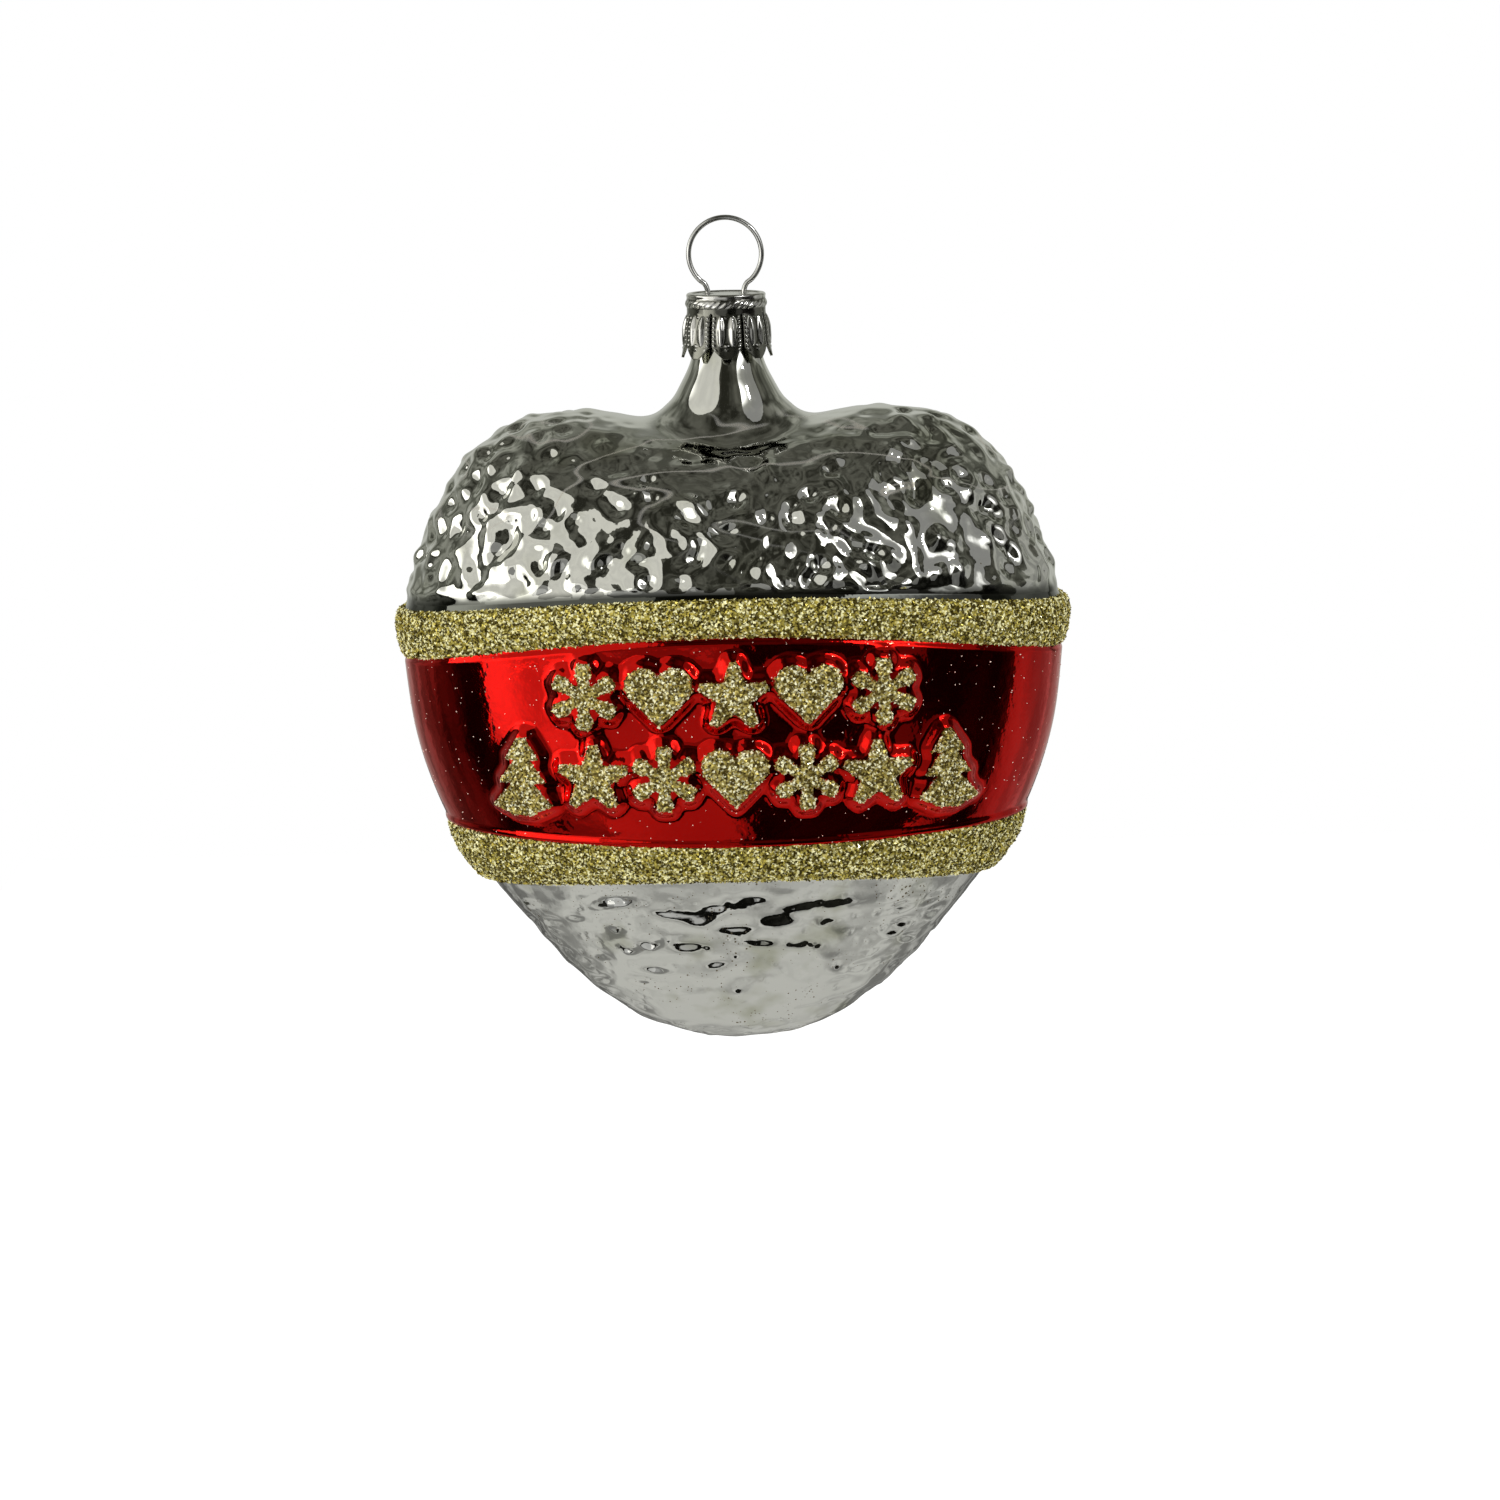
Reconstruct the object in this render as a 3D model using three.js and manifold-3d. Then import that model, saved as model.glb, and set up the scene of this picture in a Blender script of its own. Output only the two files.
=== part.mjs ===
// Glass heart ornament: a blown glass heart with a pressed metal cap and a wire hanger, a red lacquer
// band between two raised glitter bands, and raised glitter figures on the front of the red band.
// Millimetres, +Z up, the front faces -Y. The origin is where a hook bears, inside the top of the ring.
import * as THREE from 'three';
import { mergeVertices } from 'three/addons/utils/BufferGeometryUtils.js';
import Module from 'manifold-3d';

const solids = await Module();
solids.setup();

// Glass body
const heartWidth = 76.6; // glass alone, side to side at the upper band
const heartDepth = 46.4; // glass alone, front to back at the upper band
const lobeHeight = 75.2; // bottom tip to the tops of the two lobes
const glassWall = 0.9;
const neckRadius = 3.8; // outside of the neck at its rim
const neckWall = 0.7;
const neckTaper = 0.35; // what the neck's radius gains from the rim to its foot
const flareHeight = 6.9; // neck's foot above the notch between the lobes

// Raised bands
const upperBandWidth = 6.4; // from edge to edge in height, at the sides of the heart
const upperBandRise = 0.8; // how far the glass swells under the glitter
const lowerBandWidth = 8.2;
const lowerBandRise = 0.9;

// Pattern on the front. The bands and the lower row are set from the upper row.
const upperRowHeight = 44.6; // middle of the upper row of figures above the bottom tip
const upperMargin = 2.5; // upper row up to the upper band, at the middle of the front
const rowGap = 1.0; // between the two rows, where the figures are tallest
const lowerMargin = 3.0; // lower row down to the lower band, at the middle of the front
const upperRowPitch = 8.3;
const lowerRowPitch = 7.9;

// Coats on the glass
const touchGap = 0.3; // clearance between faces that rest on each other
const lacquerThickness = 0.4;
const glitterThickness = 0.5;

// Glitter figures on the front
const strokeWidth = 1.8;
const glitterHeight = 1.3;
const glitterEdge = 0.35; // how far a figure's front edge is rounded back
const figureSize = 7.6; // width of a star or little heart, height of a snowflake
const starWaist = 2.0; // middle of a star to the corners between its points
const pointWidth = 0.9; // of a star's blunted points
const heartLobe = 2.05; // radius of a little heart's two lobes
const littleHeartHeight = 6.8; // lobes to point
const armWidth = 1.3; // of a snowflake, whose arms end in drops of the stroke's width
const treeHeight = 9.2;
const treeTiers = [1.9, 2.6, 3.3]; // half widths from the top tier down
const trunkHeight = 1.2;
const treeTopWidth = 0.7;
const tierRoot = 0.45; // where a tier starts under the one above, as a share of that one's half width

// Cap
const capHeight = 7.3;
const capSheet = 0.35;
const capClearance = 0.45; // inside of the cap's wall to the neck
const rimRoll = 0.25; // rounding of the cap's top edge, which stands half as high over the top
const cordTop = 0.65; // top of the cap to the pressed ring under its edge
const cordHeight = 0.8;
const cordRise = 0.14; // how far the ring stands out
const petalCount = 8;
const petalSlit = 0.35;
const petalRoot = 2.0; // top of the cap to the top of the slits
const petalPoint = 1.5; // height of a petal's pointed end
const petalTipWidth = 0.9;
const petalBulge = 0.3; // how far a petal stands out past the cap's wall at half the cap's height
const petalSpread = 0.75; // how far the points stand out

// Wire hanger
const wireRadius = 0.3;
const ringRadius = 4.25; // to the middle of the wire
const holeSpacing = 4.2;
const holeClearance = 0.35;
const bendHeight = 1.1; // cap to where the ring turns down into a leg
const legLength = 12; // below the neck's rim
const throat = 0.5; // how far a leg goes straight on below the rim before it spreads

// Fineness of the faceted surfaces
const turnSteps = 40;
const capSteps = 40;

// Heights and radii that follow from the sizes above
const halfWidth = heartWidth / 2;
const halfDepth = heartDepth / 2;
const notchHeight = 0.988 * lobeHeight;
const notchHalfWidth = 0.261 * halfWidth;
const notchHalfDepth = 0.401 * halfDepth;
const notchFrontHeight = 0.956 * lobeHeight;
const neckFootHeight = notchHeight + flareHeight;
const neckFootRadius = neckRadius + neckTaper;
const neckRimHeight = neckFootHeight + capHeight - capSheet - touchGap;
const capTopHeight = neckRimHeight + touchGap + capSheet;
const capRadius = neckRadius + capClearance + capSheet;
const ringBend = Math.asin((holeSpacing / 2 + wireRadius) / ringRadius); // ring's opening, from straight down
const ringCentreHeight = capTopHeight + bendHeight + ringRadius * Math.cos(ringBend);
const hookHeight = ringCentreHeight + ringRadius - wireRadius;
const legSpread = neckRadius - neckWall - touchGap - wireRadius;
const lowerRowHeight = upperRowHeight - figureSize / 2 - rowGap - treeHeight / 2;

// The heart is lofted over two outlines, seen from the front and from the side, that share their stations
// from the neck's rim down to the tip. Each station holds half the width with its height at the sides, and
// half the depth with its height at the front and back.
function station(width, sideHeight, depth, frontHeight) {
  return { width, sideHeight, depth, frontHeight };
}

function round(radius, height) {
  return station(radius, height, radius, height);
}

function flare(spread, drop, frontSpread, frontDrop) {
  return station(
    THREE.MathUtils.lerp(neckFootRadius, notchHalfWidth, spread),
    THREE.MathUtils.lerp(neckFootHeight, notchHeight, drop),
    THREE.MathUtils.lerp(neckFootRadius, notchHalfDepth, frontSpread),
    THREE.MathUtils.lerp(neckFootHeight, notchFrontHeight, frontDrop));
}

function body(width, sideHeight, depth, frontHeight) {
  return station(width * halfWidth, sideHeight * lobeHeight, depth * halfDepth, frontHeight * lobeHeight);
}

// The neck widens mostly in its lower half, and the outline turns out into the lobes at the notch.
const neckMiddleTaper = neckTaper / 6;
const neckFoot = 2;
const notch = 5;
const stations = [
  round(neckRadius, neckRimHeight),
  round(neckRadius + neckMiddleTaper, (neckRimHeight + neckFootHeight) / 2),
  round(neckFootRadius, neckFootHeight),
  flare(0.214, 0.42, 0.243, 0.32),
  flare(0.487, 0.768, 0.515, 0.667),
  station(notchHalfWidth, notchHeight, notchHalfDepth, notchFrontHeight),
  body(0.436, 1.0, 0.534, 0.934),
  body(0.621, 0.989, 0.664, 0.907),
  body(0.765, 0.949, 0.776, 0.875),
  body(0.864, 0.89, 0.866, 0.836),
  body(0.935, 0.815, 0.931, 0.798),
  body(0.977, 0.758, 0.97, 0.769),
  body(1.0, 0.706, 0.991, 0.743),
  body(0.995, 0.621, 1.0, 0.677),
  body(0.963, 0.5, 0.974, 0.524),
  body(0.883, 0.378, 0.892, 0.367),
  body(0.762, 0.269, 0.784, 0.294),
  body(0.648, 0.195, 0.672, 0.215),
  body(0.475, 0.1, 0.509, 0.114),
  body(0.261, 0.027, 0.284, 0.035),
  body(0, 0, 0, 0),
];
const tip = stations.length - 1;
const firstBody = 8; // first station below the lobes, from where the heights only fall
const beforeTip = stations[tip - 1];
const beyondTip = station(-beforeTip.width, beforeTip.sideHeight, -beforeTip.depth, beforeTip.frontHeight);
const outline = new THREE.CatmullRomCurve3(
  [...stations, beyondTip].map((s) => new THREE.Vector3(s.width, s.depth, s.sideHeight)),
  false, 'catmullrom', 0.5);
const frontOutline = new THREE.CatmullRomCurve3(
  [...stations, beyondTip].map((s) => new THREE.Vector3(s.frontHeight, 0, 0)),
  false, 'catmullrom', 0.5);

function sideHeight(place) {
  return outline.getPoint(place / (tip + 1)).z;
}

function frontHeight(place) {
  return frontOutline.getPoint(place / (tip + 1)).x;
}

// Point of the plain glass at a turn about Z and a place along the stations
function glassPoint(turn, place) {
  const across = outline.getPoint(place / (tip + 1));
  const c = Math.cos(turn);
  const s = Math.sin(turn);
  return new THREE.Vector3(across.x * c, across.y * s, across.z * c * c + frontHeight(place) * s * s);
}

function glassNormal(turn, place) {
  const step = 1e-3;
  const near = THREE.MathUtils.clamp(place, step, tip - 2 * step);
  const upwards = glassPoint(turn, near - step).sub(glassPoint(turn, near + step));
  const around = glassPoint(turn + step, near).sub(glassPoint(turn - step, near));
  return new THREE.Vector3().crossVectors(around, upwards).normalize();
}

function offsetPoint(turn, place, outward) {
  return glassPoint(turn, place).addScaledVector(glassNormal(turn, place), outward);
}

// Place below the lobes where the side or the front of the heart comes down to a height
function placeAt(height, heightOf) {
  let low = firstBody;
  let high = tip;
  for (let i = 0; i < 40; i += 1) {
    const middle = (low + high) / 2;
    if (heightOf(middle) > height) low = middle;
    else high = middle;
  }
  return (low + high) / 2;
}

const upperEdge = placeAt(upperRowHeight + figureSize / 2 + upperMargin, frontHeight);
const lowerEdge = placeAt(lowerRowHeight - treeHeight / 2 - lowerMargin, frontHeight);
const upperBand = { top: placeAt(sideHeight(upperEdge) + upperBandWidth, sideHeight), bottom: upperEdge };
const lowerBand = { top: lowerEdge, bottom: placeAt(sideHeight(lowerEdge) - lowerBandWidth, sideHeight) };
const lacquer = {
  top: placeAt(sideHeight(upperEdge) - touchGap, sideHeight),
  bottom: placeAt(sideHeight(lowerEdge) + touchGap, sideHeight),
};

// Swell of the glass under a band: a rounded roll from the band's top edge to its bottom edge
function roll(place, band, rise) {
  const share = (place - band.top) / (band.bottom - band.top);
  if (share <= 0 || share >= 1) return 0;
  return rise * Math.sin(Math.PI * share) ** 0.7;
}

function swell(place) {
  return roll(place, upperBand, upperBandRise) + roll(place, lowerBand, lowerBandRise);
}

// Places spread evenly from one to the other, both included
function places(from, to, count) {
  return Array.from({ length: count }, (_, i) => THREE.MathUtils.lerp(from, to, i / (count - 1)));
}

function ring(place, outward) {
  return Array.from({ length: turnSteps }, (_, i) =>
    offsetPoint((2 * Math.PI * i) / turnSteps, place, outward));
}

// Closed mesh from positions and triangles, turned the right way out
function closedMesh(points, triangles) {
  const a = new THREE.Vector3();
  let volume = 0;
  for (const [i, j, k] of triangles) volume += points[i].dot(a.crossVectors(points[j], points[k]));
  const faces = volume < 0 ? triangles.map(([i, j, k]) => [i, k, j]) : triangles;
  const geometry = new THREE.BufferGeometry();
  geometry.setAttribute('position', new THREE.Float32BufferAttribute(points.flatMap((p) => p.toArray()), 3));
  geometry.setIndex(faces.flat());
  return geometry;
}

// Skin over rings of equal count. It closes at each end on a single point, or comes round to the first ring.
function skin(rings, comesRound = false) {
  const points = rings.flat();
  const starts = rings.map((_, i) => rings.slice(0, i).reduce((sum, r) => sum + r.length, 0));
  const triangles = [];
  const last = comesRound ? rings.length : rings.length - 1;
  for (let i = 0; i < last; i += 1) {
    const next = (i + 1) % rings.length;
    const count = Math.max(rings[i].length, rings[next].length);
    for (let j = 0; j < count; j += 1) {
      const [a, b] = [j, (j + 1) % count].map((n) => starts[i] + (rings[i].length === 1 ? 0 : n));
      const [c, d] = [j, (j + 1) % count].map((n) => starts[next] + (rings[next].length === 1 ? 0 : n));
      if (a !== b) triangles.push([a, b, d]);
      if (c !== d) triangles.push([a, d, c]);
    }
  }
  return closedMesh(points, triangles);
}

// The glass is one wall, open at the neck's rim, with the inside smooth behind the raised bands.
function glassHeart() {
  const outside = [
    ...places(0, neckFoot, 3), ...places(neckFoot + 0.5, notch, 6), ...places(notch + 0.6, upperBand.top, 9),
    ...places(upperBand.top, upperBand.bottom, 6).slice(1),
    ...places(lacquer.top, lacquer.bottom, 6),
    ...places(lowerBand.top, lowerBand.bottom, 6),
    ...places(lowerBand.bottom, tip - 0.3, 8).slice(1)];
  const inside = [
    ...places(1, notch, 5), ...places(notch + 1.2, upperBand.top, 5),
    ...places(lacquer.top, lacquer.bottom, 3), ...places(lowerBand.bottom, tip - 0.5, 5)];
  const pastNeck = (place) => THREE.MathUtils.clamp((place - neckFoot) / (notch - neckFoot), 0, 1);
  const wall = (place) => THREE.MathUtils.lerp(neckWall, glassWall, pastNeck(place));
  const rim = outline.getPoint(0);
  const boreRim = Array.from({ length: turnSteps }, (_, i) => {
    const turn = (2 * Math.PI * i) / turnSteps;
    const radius = neckRadius - neckWall;
    return new THREE.Vector3(radius * Math.cos(turn), radius * Math.sin(turn), rim.z);
  });
  return skin([
    [new THREE.Vector3(0, 0, glassWall)],
    ...inside.map((place) => ring(place, -wall(place))).reverse(),
    boreRim,
    ...outside.map((place) => ring(place, swell(place))),
    [new THREE.Vector3(0, 0, 0)]]);
}

// A coat lies over the glass between two places, a touch gap away from it.
function coat(from, to, count, thickness) {
  const rows = places(from, to, count);
  return skin([
    ...rows.map((place) => ring(place, swell(place) + touchGap + thickness)),
    ...rows.map((place) => ring(place, swell(place) + touchGap)).reverse()], true);
}

function glitterBand(band) {
  const edge = 0.03 * (band.bottom - band.top);
  return coat(band.top + edge, band.bottom - edge, 7, glitterThickness);
}

// Place on the front of the heart at a sideways distance and a height, as seen from the front
function frontPlace(x, height) {
  let low = upperBand.top;
  let high = lowerBand.bottom;
  const turnAt = (place) => -Math.acos(x / outline.getPoint(place / (tip + 1)).x);
  for (let i = 0; i < 40; i += 1) {
    const middle = (low + high) / 2;
    if (glassPoint(turnAt(middle), middle).z > height) low = middle;
    else high = middle;
  }
  return { turn: turnAt(low), place: low };
}

// Each corner of a closed outline moved towards the inside, square to the edges that meet there
function inset(loop, distance) {
  const count = loop.length;
  return loop.map((here, i) => {
    const before = loop[(i + count - 1) % count];
    const after = loop[(i + 1) % count];
    const inwards = [[before, here], [here, after]].map(([from, to]) =>
      new THREE.Vector2(from.y - to.y, to.x - from.x).normalize());
    const middle = inwards[0].clone().add(inwards[1]).normalize();
    return here.clone().addScaledVector(middle, distance / Math.max(middle.dot(inwards[0]), 0.6));
  });
}

// Raised figure of glitter that follows the lacquer. Its outline runs counter-clockwise, seen from the front,
// in distances to the right and up from a place on the front. Its edge is upright, then rounded back.
function raised(x, height, outline2d) {
  const foot = touchGap + lacquerThickness + touchGap;
  const levels = [[0, 0], [0, 0.55], [glitterEdge, 1]];
  const points = levels.flatMap(([drawnIn, up]) => inset(outline2d, drawnIn).map((at) => {
    const { turn, place } = frontPlace(x + at.x, height + at.y);
    return offsetPoint(turn, place, foot + up * glitterHeight);
  }));
  const count = outline2d.length;
  const front = (levels.length - 1) * count;
  const triangles = THREE.ShapeUtils.triangulateShape(outline2d, [])
    .flatMap(([a, b, c]) => [[a, c, b], [front + a, front + b, front + c]]);
  for (let start = 0; start < front; start += count) {
    for (let j = 0; j < count; j += 1) {
      const [a, b] = [start + j, start + ((j + 1) % count)];
      triangles.push([a, b, b + count], [a, b + count, a + count]);
    }
  }
  return closedMesh(points, triangles);
}

function corner(radius, angle) {
  return new THREE.Vector2(radius * Math.cos(angle), radius * Math.sin(angle));
}

// Five-pointed star with blunted points, the first one pointing up
function star(x, height) {
  const points = 5;
  const reach = figureSize / 2 / Math.cos(Math.PI / 10);
  const blunt = pointWidth / 2 / reach;
  const outer = Array.from({ length: points }, (_, i) => {
    const angle = Math.PI / 2 + (2 * Math.PI * i) / points;
    const point = [-blunt, blunt].map((aside) => corner(reach, angle + aside));
    return [corner(starWaist, angle - Math.PI / points), ...point];
  });
  return raised(x, height, outer.flat());
}

// Six arms that end in round drops, the first one pointing up
function snowflake(x, height) {
  const arms = 6;
  const reach = figureSize / 2;
  const half = armWidth / 2;
  const drop = strokeWidth / 2;
  const valley = half / Math.sin(Math.PI / arms);
  const side = [
    [reach - 2 * drop, half], [reach - 1.5 * drop, drop], [reach - 0.5 * drop, drop], [reach, half]];
  const end = [...side.map(([out, aside]) => [out, -aside]), ...side.toReversed()];
  const outer = Array.from({ length: arms }, (_, i) => {
    const angle = Math.PI / 2 + (2 * Math.PI * i) / arms;
    return [corner(valley, angle - Math.PI / arms),
      ...end.map(([out, aside]) => new THREE.Vector2(out, aside).rotateAround(new THREE.Vector2(), angle))];
  });
  return raised(x, height, outer.flat());
}

// Two round lobes that meet in a cleft, with straight sides from the lobes down to the point
function littleHeart(x, height) {
  const point = new THREE.Vector2(0, -littleHeartHeight / 2);
  const lobe = new THREE.Vector2(figureSize / 2 - heartLobe, littleHeartHeight / 2 - heartLobe);
  const toPoint = point.clone().sub(lobe);
  const sideStart = Math.atan2(toPoint.y, toPoint.x) + Math.acos(heartLobe / toPoint.length());
  const cleft = Math.PI - Math.acos(lobe.x / heartLobe);
  const right = places(sideStart, cleft, 10).map((angle) => corner(heartLobe, angle).add(lobe));
  const left = right.slice(0, -1).map((at) => new THREE.Vector2(-at.x, at.y)).reverse();
  return raised(x, height, [point, ...right, ...left]);
}

// Fir tree of three tiers, each wider than the one above, on a short trunk
function firTree(x, height) {
  const tier = (treeHeight - trunkHeight) / treeTiers.length;
  const right = [new THREE.Vector2(strokeWidth / 2, -treeHeight / 2)];
  treeTiers.toReversed().forEach((spread, i) => {
    const base = trunkHeight - treeHeight / 2 + i * tier;
    const above = treeTiers.length - i - 2;
    right.push(new THREE.Vector2(spread, base));
    if (above >= 0) right.push(new THREE.Vector2(treeTiers[above] * tierRoot, base + tier));
  });
  right.push(new THREE.Vector2(treeTopWidth / 2, treeHeight / 2));
  const left = right.map((at) => new THREE.Vector2(-at.x, at.y)).reverse();
  return raised(x, height, [...right, ...left]);
}

function toSolid(geometry) {
  const bare = geometry.clone();
  bare.deleteAttribute('normal');
  bare.deleteAttribute('uv');
  const merged = mergeVertices(bare, 1e-5);
  return new solids.Manifold(new solids.Mesh({
    numProp: 3,
    vertProperties: new Float32Array(merged.attributes.position.array),
    triVerts: new Uint32Array(merged.index.array),
  }));
}

function toGeometry(solid) {
  const mesh = solid.getMesh();
  const geometry = new THREE.BufferGeometry();
  geometry.setAttribute('position', new THREE.Float32BufferAttribute(mesh.vertProperties, 3));
  geometry.setIndex(new THREE.Uint32BufferAttribute(mesh.triVerts, 1));
  return geometry;
}

// Cap: a drawn cup with a rolled top edge, a pressed ring below that and slit petals that spread a little
function capShell() {
  const cordBottom = cordTop + cordHeight;
  const skirt = [
    [capRadius, -rimRoll], [capRadius, -cordTop], [capRadius + cordRise, -cordTop - cordRise],
    [capRadius + cordRise, -cordBottom + cordRise], [capRadius, -cordBottom],
    [capRadius + petalBulge, -capHeight / 2],
    [capRadius + (2 * petalBulge + petalSpread) / 3, -capHeight + petalPoint],
    [capRadius + petalSpread, -capHeight]];
  const inner = skirt.slice(4).map(([r, z]) => [r - capSheet, z]).reverse();
  const profile = [
    [0, 0], [capRadius - 2 * rimRoll, 0], [capRadius - rimRoll, rimRoll / 2], ...skirt, ...inner,
    [capRadius - capSheet, -capSheet - rimRoll / 2], [0, -capSheet]];
  return new THREE.LatheGeometry(profile.map(([r, z]) => new THREE.Vector2(r, z)).reverse(), capSteps)
    .rotateX(Math.PI / 2);
}

// Cut between two petals: a narrow slit that opens into a wide notch between their points
function petalCut() {
  const tipRadius = capRadius + petalSpread;
  const notchHalf = (Math.PI * tipRadius) / petalCount - petalTipWidth / 2;
  const past = 1; // how far the cut runs past the metal
  const shape = new THREE.Shape([
    [-petalSlit / 2, -petalRoot], [-petalSlit / 2, -capHeight + petalPoint], [-notchHalf, -capHeight],
    [-notchHalf, -capHeight - past], [notchHalf, -capHeight - past], [notchHalf, -capHeight],
    [petalSlit / 2, -capHeight + petalPoint], [petalSlit / 2, -petalRoot],
  ].map(([x, z]) => new THREE.Vector2(x, z)));
  const reach = tipRadius + past - neckRadius;
  return new THREE.ExtrudeGeometry(shape, { depth: reach, bevelEnabled: false, steps: 1 })
    .rotateX(Math.PI / 2)
    .translate(0, -neckRadius, 0);
}

function wireHole(side) {
  const radius = wireRadius + holeClearance;
  return new THREE.CylinderGeometry(radius, radius, 4 * capSheet, 16)
    .rotateX(Math.PI / 2)
    .translate((side * holeSpacing) / 2, 0, 0);
}

function metalCap() {
  let cap = toSolid(capShell());
  for (let i = 0; i < petalCount; i += 1) {
    cap = cap.subtract(toSolid(petalCut().rotateZ((2 * Math.PI * (i + 0.5)) / petalCount)));
  }
  for (const side of [-1, 1]) cap = cap.subtract(toSolid(wireHole(side)));
  return toGeometry(cap);
}

// Hanger: one wire, up the left leg, round the ring and down the right leg. Heights are above the cap.
function wireHanger() {
  const rim = -capSheet - touchGap;
  const centre = ringCentreHeight - capTopHeight;
  const leg = [
    ...[1, 0.72, 0.44, 0.2].map((share) => [legSpread, rim - legLength * share]),
    [holeSpacing / 2 + (legSpread - holeSpacing / 2) / 4, rim - throat],
    [holeSpacing / 2, wireRadius / 2]];
  const arcSteps = 16;
  const arc = Array.from({ length: arcSteps + 1 }, (_, i) => {
    const angle = -Math.PI / 2 + ringBend + ((2 * Math.PI - 2 * ringBend) * i) / arcSteps;
    return [ringRadius * Math.cos(angle), centre + ringRadius * Math.sin(angle)];
  });
  const route = [...leg, ...arc, ...leg.map(([x, z]) => [-x, z]).reverse()];
  const path = new THREE.CatmullRomCurve3(route.map(([x, z]) => new THREE.Vector3(x, 0, z)));
  const sides = 8;
  const section = new THREE.Shape(Array.from({ length: sides }, (_, i) =>
    corner(wireRadius, (2 * Math.PI * i) / sides)));
  const geometry = new THREE.ExtrudeGeometry(section, { steps: 64, extrudePath: path, bevelEnabled: false });
  return toGeometry(toSolid(geometry));
}

const silver = new THREE.MeshStandardMaterial({ color: 0xd4d6d2, roughness: 0.05, metalness: 1 });
const redLacquer = new THREE.MeshStandardMaterial({ color: 0xb80a0a, roughness: 0.08, metalness: 0.9 });
const goldGlitter = new THREE.MeshStandardMaterial({ color: 0xa98f3a, roughness: 0.5, metalness: 0.8 });
const capMetal = new THREE.MeshStandardMaterial({ color: 0xc9c9c4, roughness: 0.2, metalness: 1 });
const wireMetal = new THREE.MeshStandardMaterial({ color: 0xb4b6b4, roughness: 0.25, metalness: 1 });

function piece(name, geometry, material) {
  const mesh = new THREE.Mesh(geometry, material);
  mesh.name = name;
  return mesh;
}

// Figures of the two rows, from left to right
const upperRow = [
  ['upper_snowflake_left', snowflake], ['upper_heart_left', littleHeart], ['upper_star', star],
  ['upper_heart_right', littleHeart], ['upper_snowflake_right', snowflake]];
const lowerRow = [
  ['fir_tree_left', firTree], ['lower_star_left', star], ['lower_snowflake_left', snowflake],
  ['lower_heart', littleHeart], ['lower_snowflake_right', snowflake], ['lower_star_right', star],
  ['fir_tree_right', firTree]];

function row(figures, height, pitch) {
  return figures.map(([name, make], i) =>
    piece(name, make((i - (figures.length - 1) / 2) * pitch, height), goldGlitter));
}

const heart = new THREE.Group();
heart.add(piece('glass_heart', glassHeart(), silver));
heart.add(piece('red_band', coat(lacquer.top, lacquer.bottom, 6, lacquerThickness), redLacquer));
heart.add(piece('upper_glitter_band', glitterBand(upperBand), goldGlitter));
heart.add(piece('lower_glitter_band', glitterBand(lowerBand), goldGlitter));
heart.add(...row(upperRow, upperRowHeight, upperRowPitch));
heart.add(...row(lowerRow, lowerRowHeight, lowerRowPitch));
heart.position.z = -hookHeight;

const top = new THREE.Group();
top.add(piece('metal_cap', metalCap(), capMetal));
top.add(piece('wire_hanger', wireHanger(), wireMetal));
top.position.z = capTopHeight - hookHeight;

const ornament = new THREE.Group();
ornament.add(heart, top);

export default ornament;
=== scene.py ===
import itertools
import math

import bmesh
import bpy
import numpy as np
from mathutils import Matrix, Vector


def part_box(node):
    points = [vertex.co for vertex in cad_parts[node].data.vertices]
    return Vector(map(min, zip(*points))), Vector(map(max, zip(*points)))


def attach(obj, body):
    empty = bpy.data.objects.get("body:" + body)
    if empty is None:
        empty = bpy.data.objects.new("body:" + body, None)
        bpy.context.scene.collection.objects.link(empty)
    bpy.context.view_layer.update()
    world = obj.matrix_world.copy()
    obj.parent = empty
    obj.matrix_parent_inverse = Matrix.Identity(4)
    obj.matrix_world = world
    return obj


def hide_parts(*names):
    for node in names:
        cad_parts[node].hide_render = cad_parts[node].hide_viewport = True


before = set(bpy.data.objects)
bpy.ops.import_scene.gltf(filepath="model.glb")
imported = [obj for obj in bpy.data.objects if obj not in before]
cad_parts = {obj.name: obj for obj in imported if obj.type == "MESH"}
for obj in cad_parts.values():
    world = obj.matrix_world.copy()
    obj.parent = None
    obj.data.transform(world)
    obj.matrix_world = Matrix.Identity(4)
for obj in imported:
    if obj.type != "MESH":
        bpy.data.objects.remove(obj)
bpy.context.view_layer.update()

# Glass heart ornament: silvered, hammered glass with a red lacquer band between two glitter bands, raised
# glitter figures on its front, a pressed cap and a wire hanger. Metres, +Z up, the front faces -Y.
print("Frame loaded with", len(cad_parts), "nodes")

mm = 0.001
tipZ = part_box("glass_heart")[0].z
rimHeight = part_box("glass_heart")[1].z - tipZ  # heights count up from the glass's bottom tip
middleHeight = 40 * mm  # about the middle of the heart

# The glass's outline, with the same stations as in the frame
glass = {
    "halfWidth": 38.3 * mm,
    "halfDepth": 23.2 * mm,
    "lobeHeight": 75.2 * mm,
    "neckRadius": 3.8 * mm,
    "neckFootRadius": 4.15 * mm,
    "flareHeight": 6.9 * mm,
    "wall": 0.9 * mm,
    "neckWall": 0.7 * mm,
}
bands = {
    "upperEdge": 50.9 * mm,  # height of the upper band's lower edge at the middle of the front
    "upperWidth": 6.4 * mm,  # widths are heights from edge to edge at the sides
    "upperRise": 0.8 * mm,  # swell of the glass under the glitter
    "lowerEdge": 27.6 * mm,  # height of the lower band's upper edge at the middle of the front
    "lowerWidth": 8.2 * mm,
    "lowerRise": 0.9 * mm,
    "upperBare": (0.11, 0.0),  # shares of the swell left bare above and below the glitter
    "lowerBare": (0.05, 0.04),
}


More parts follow.
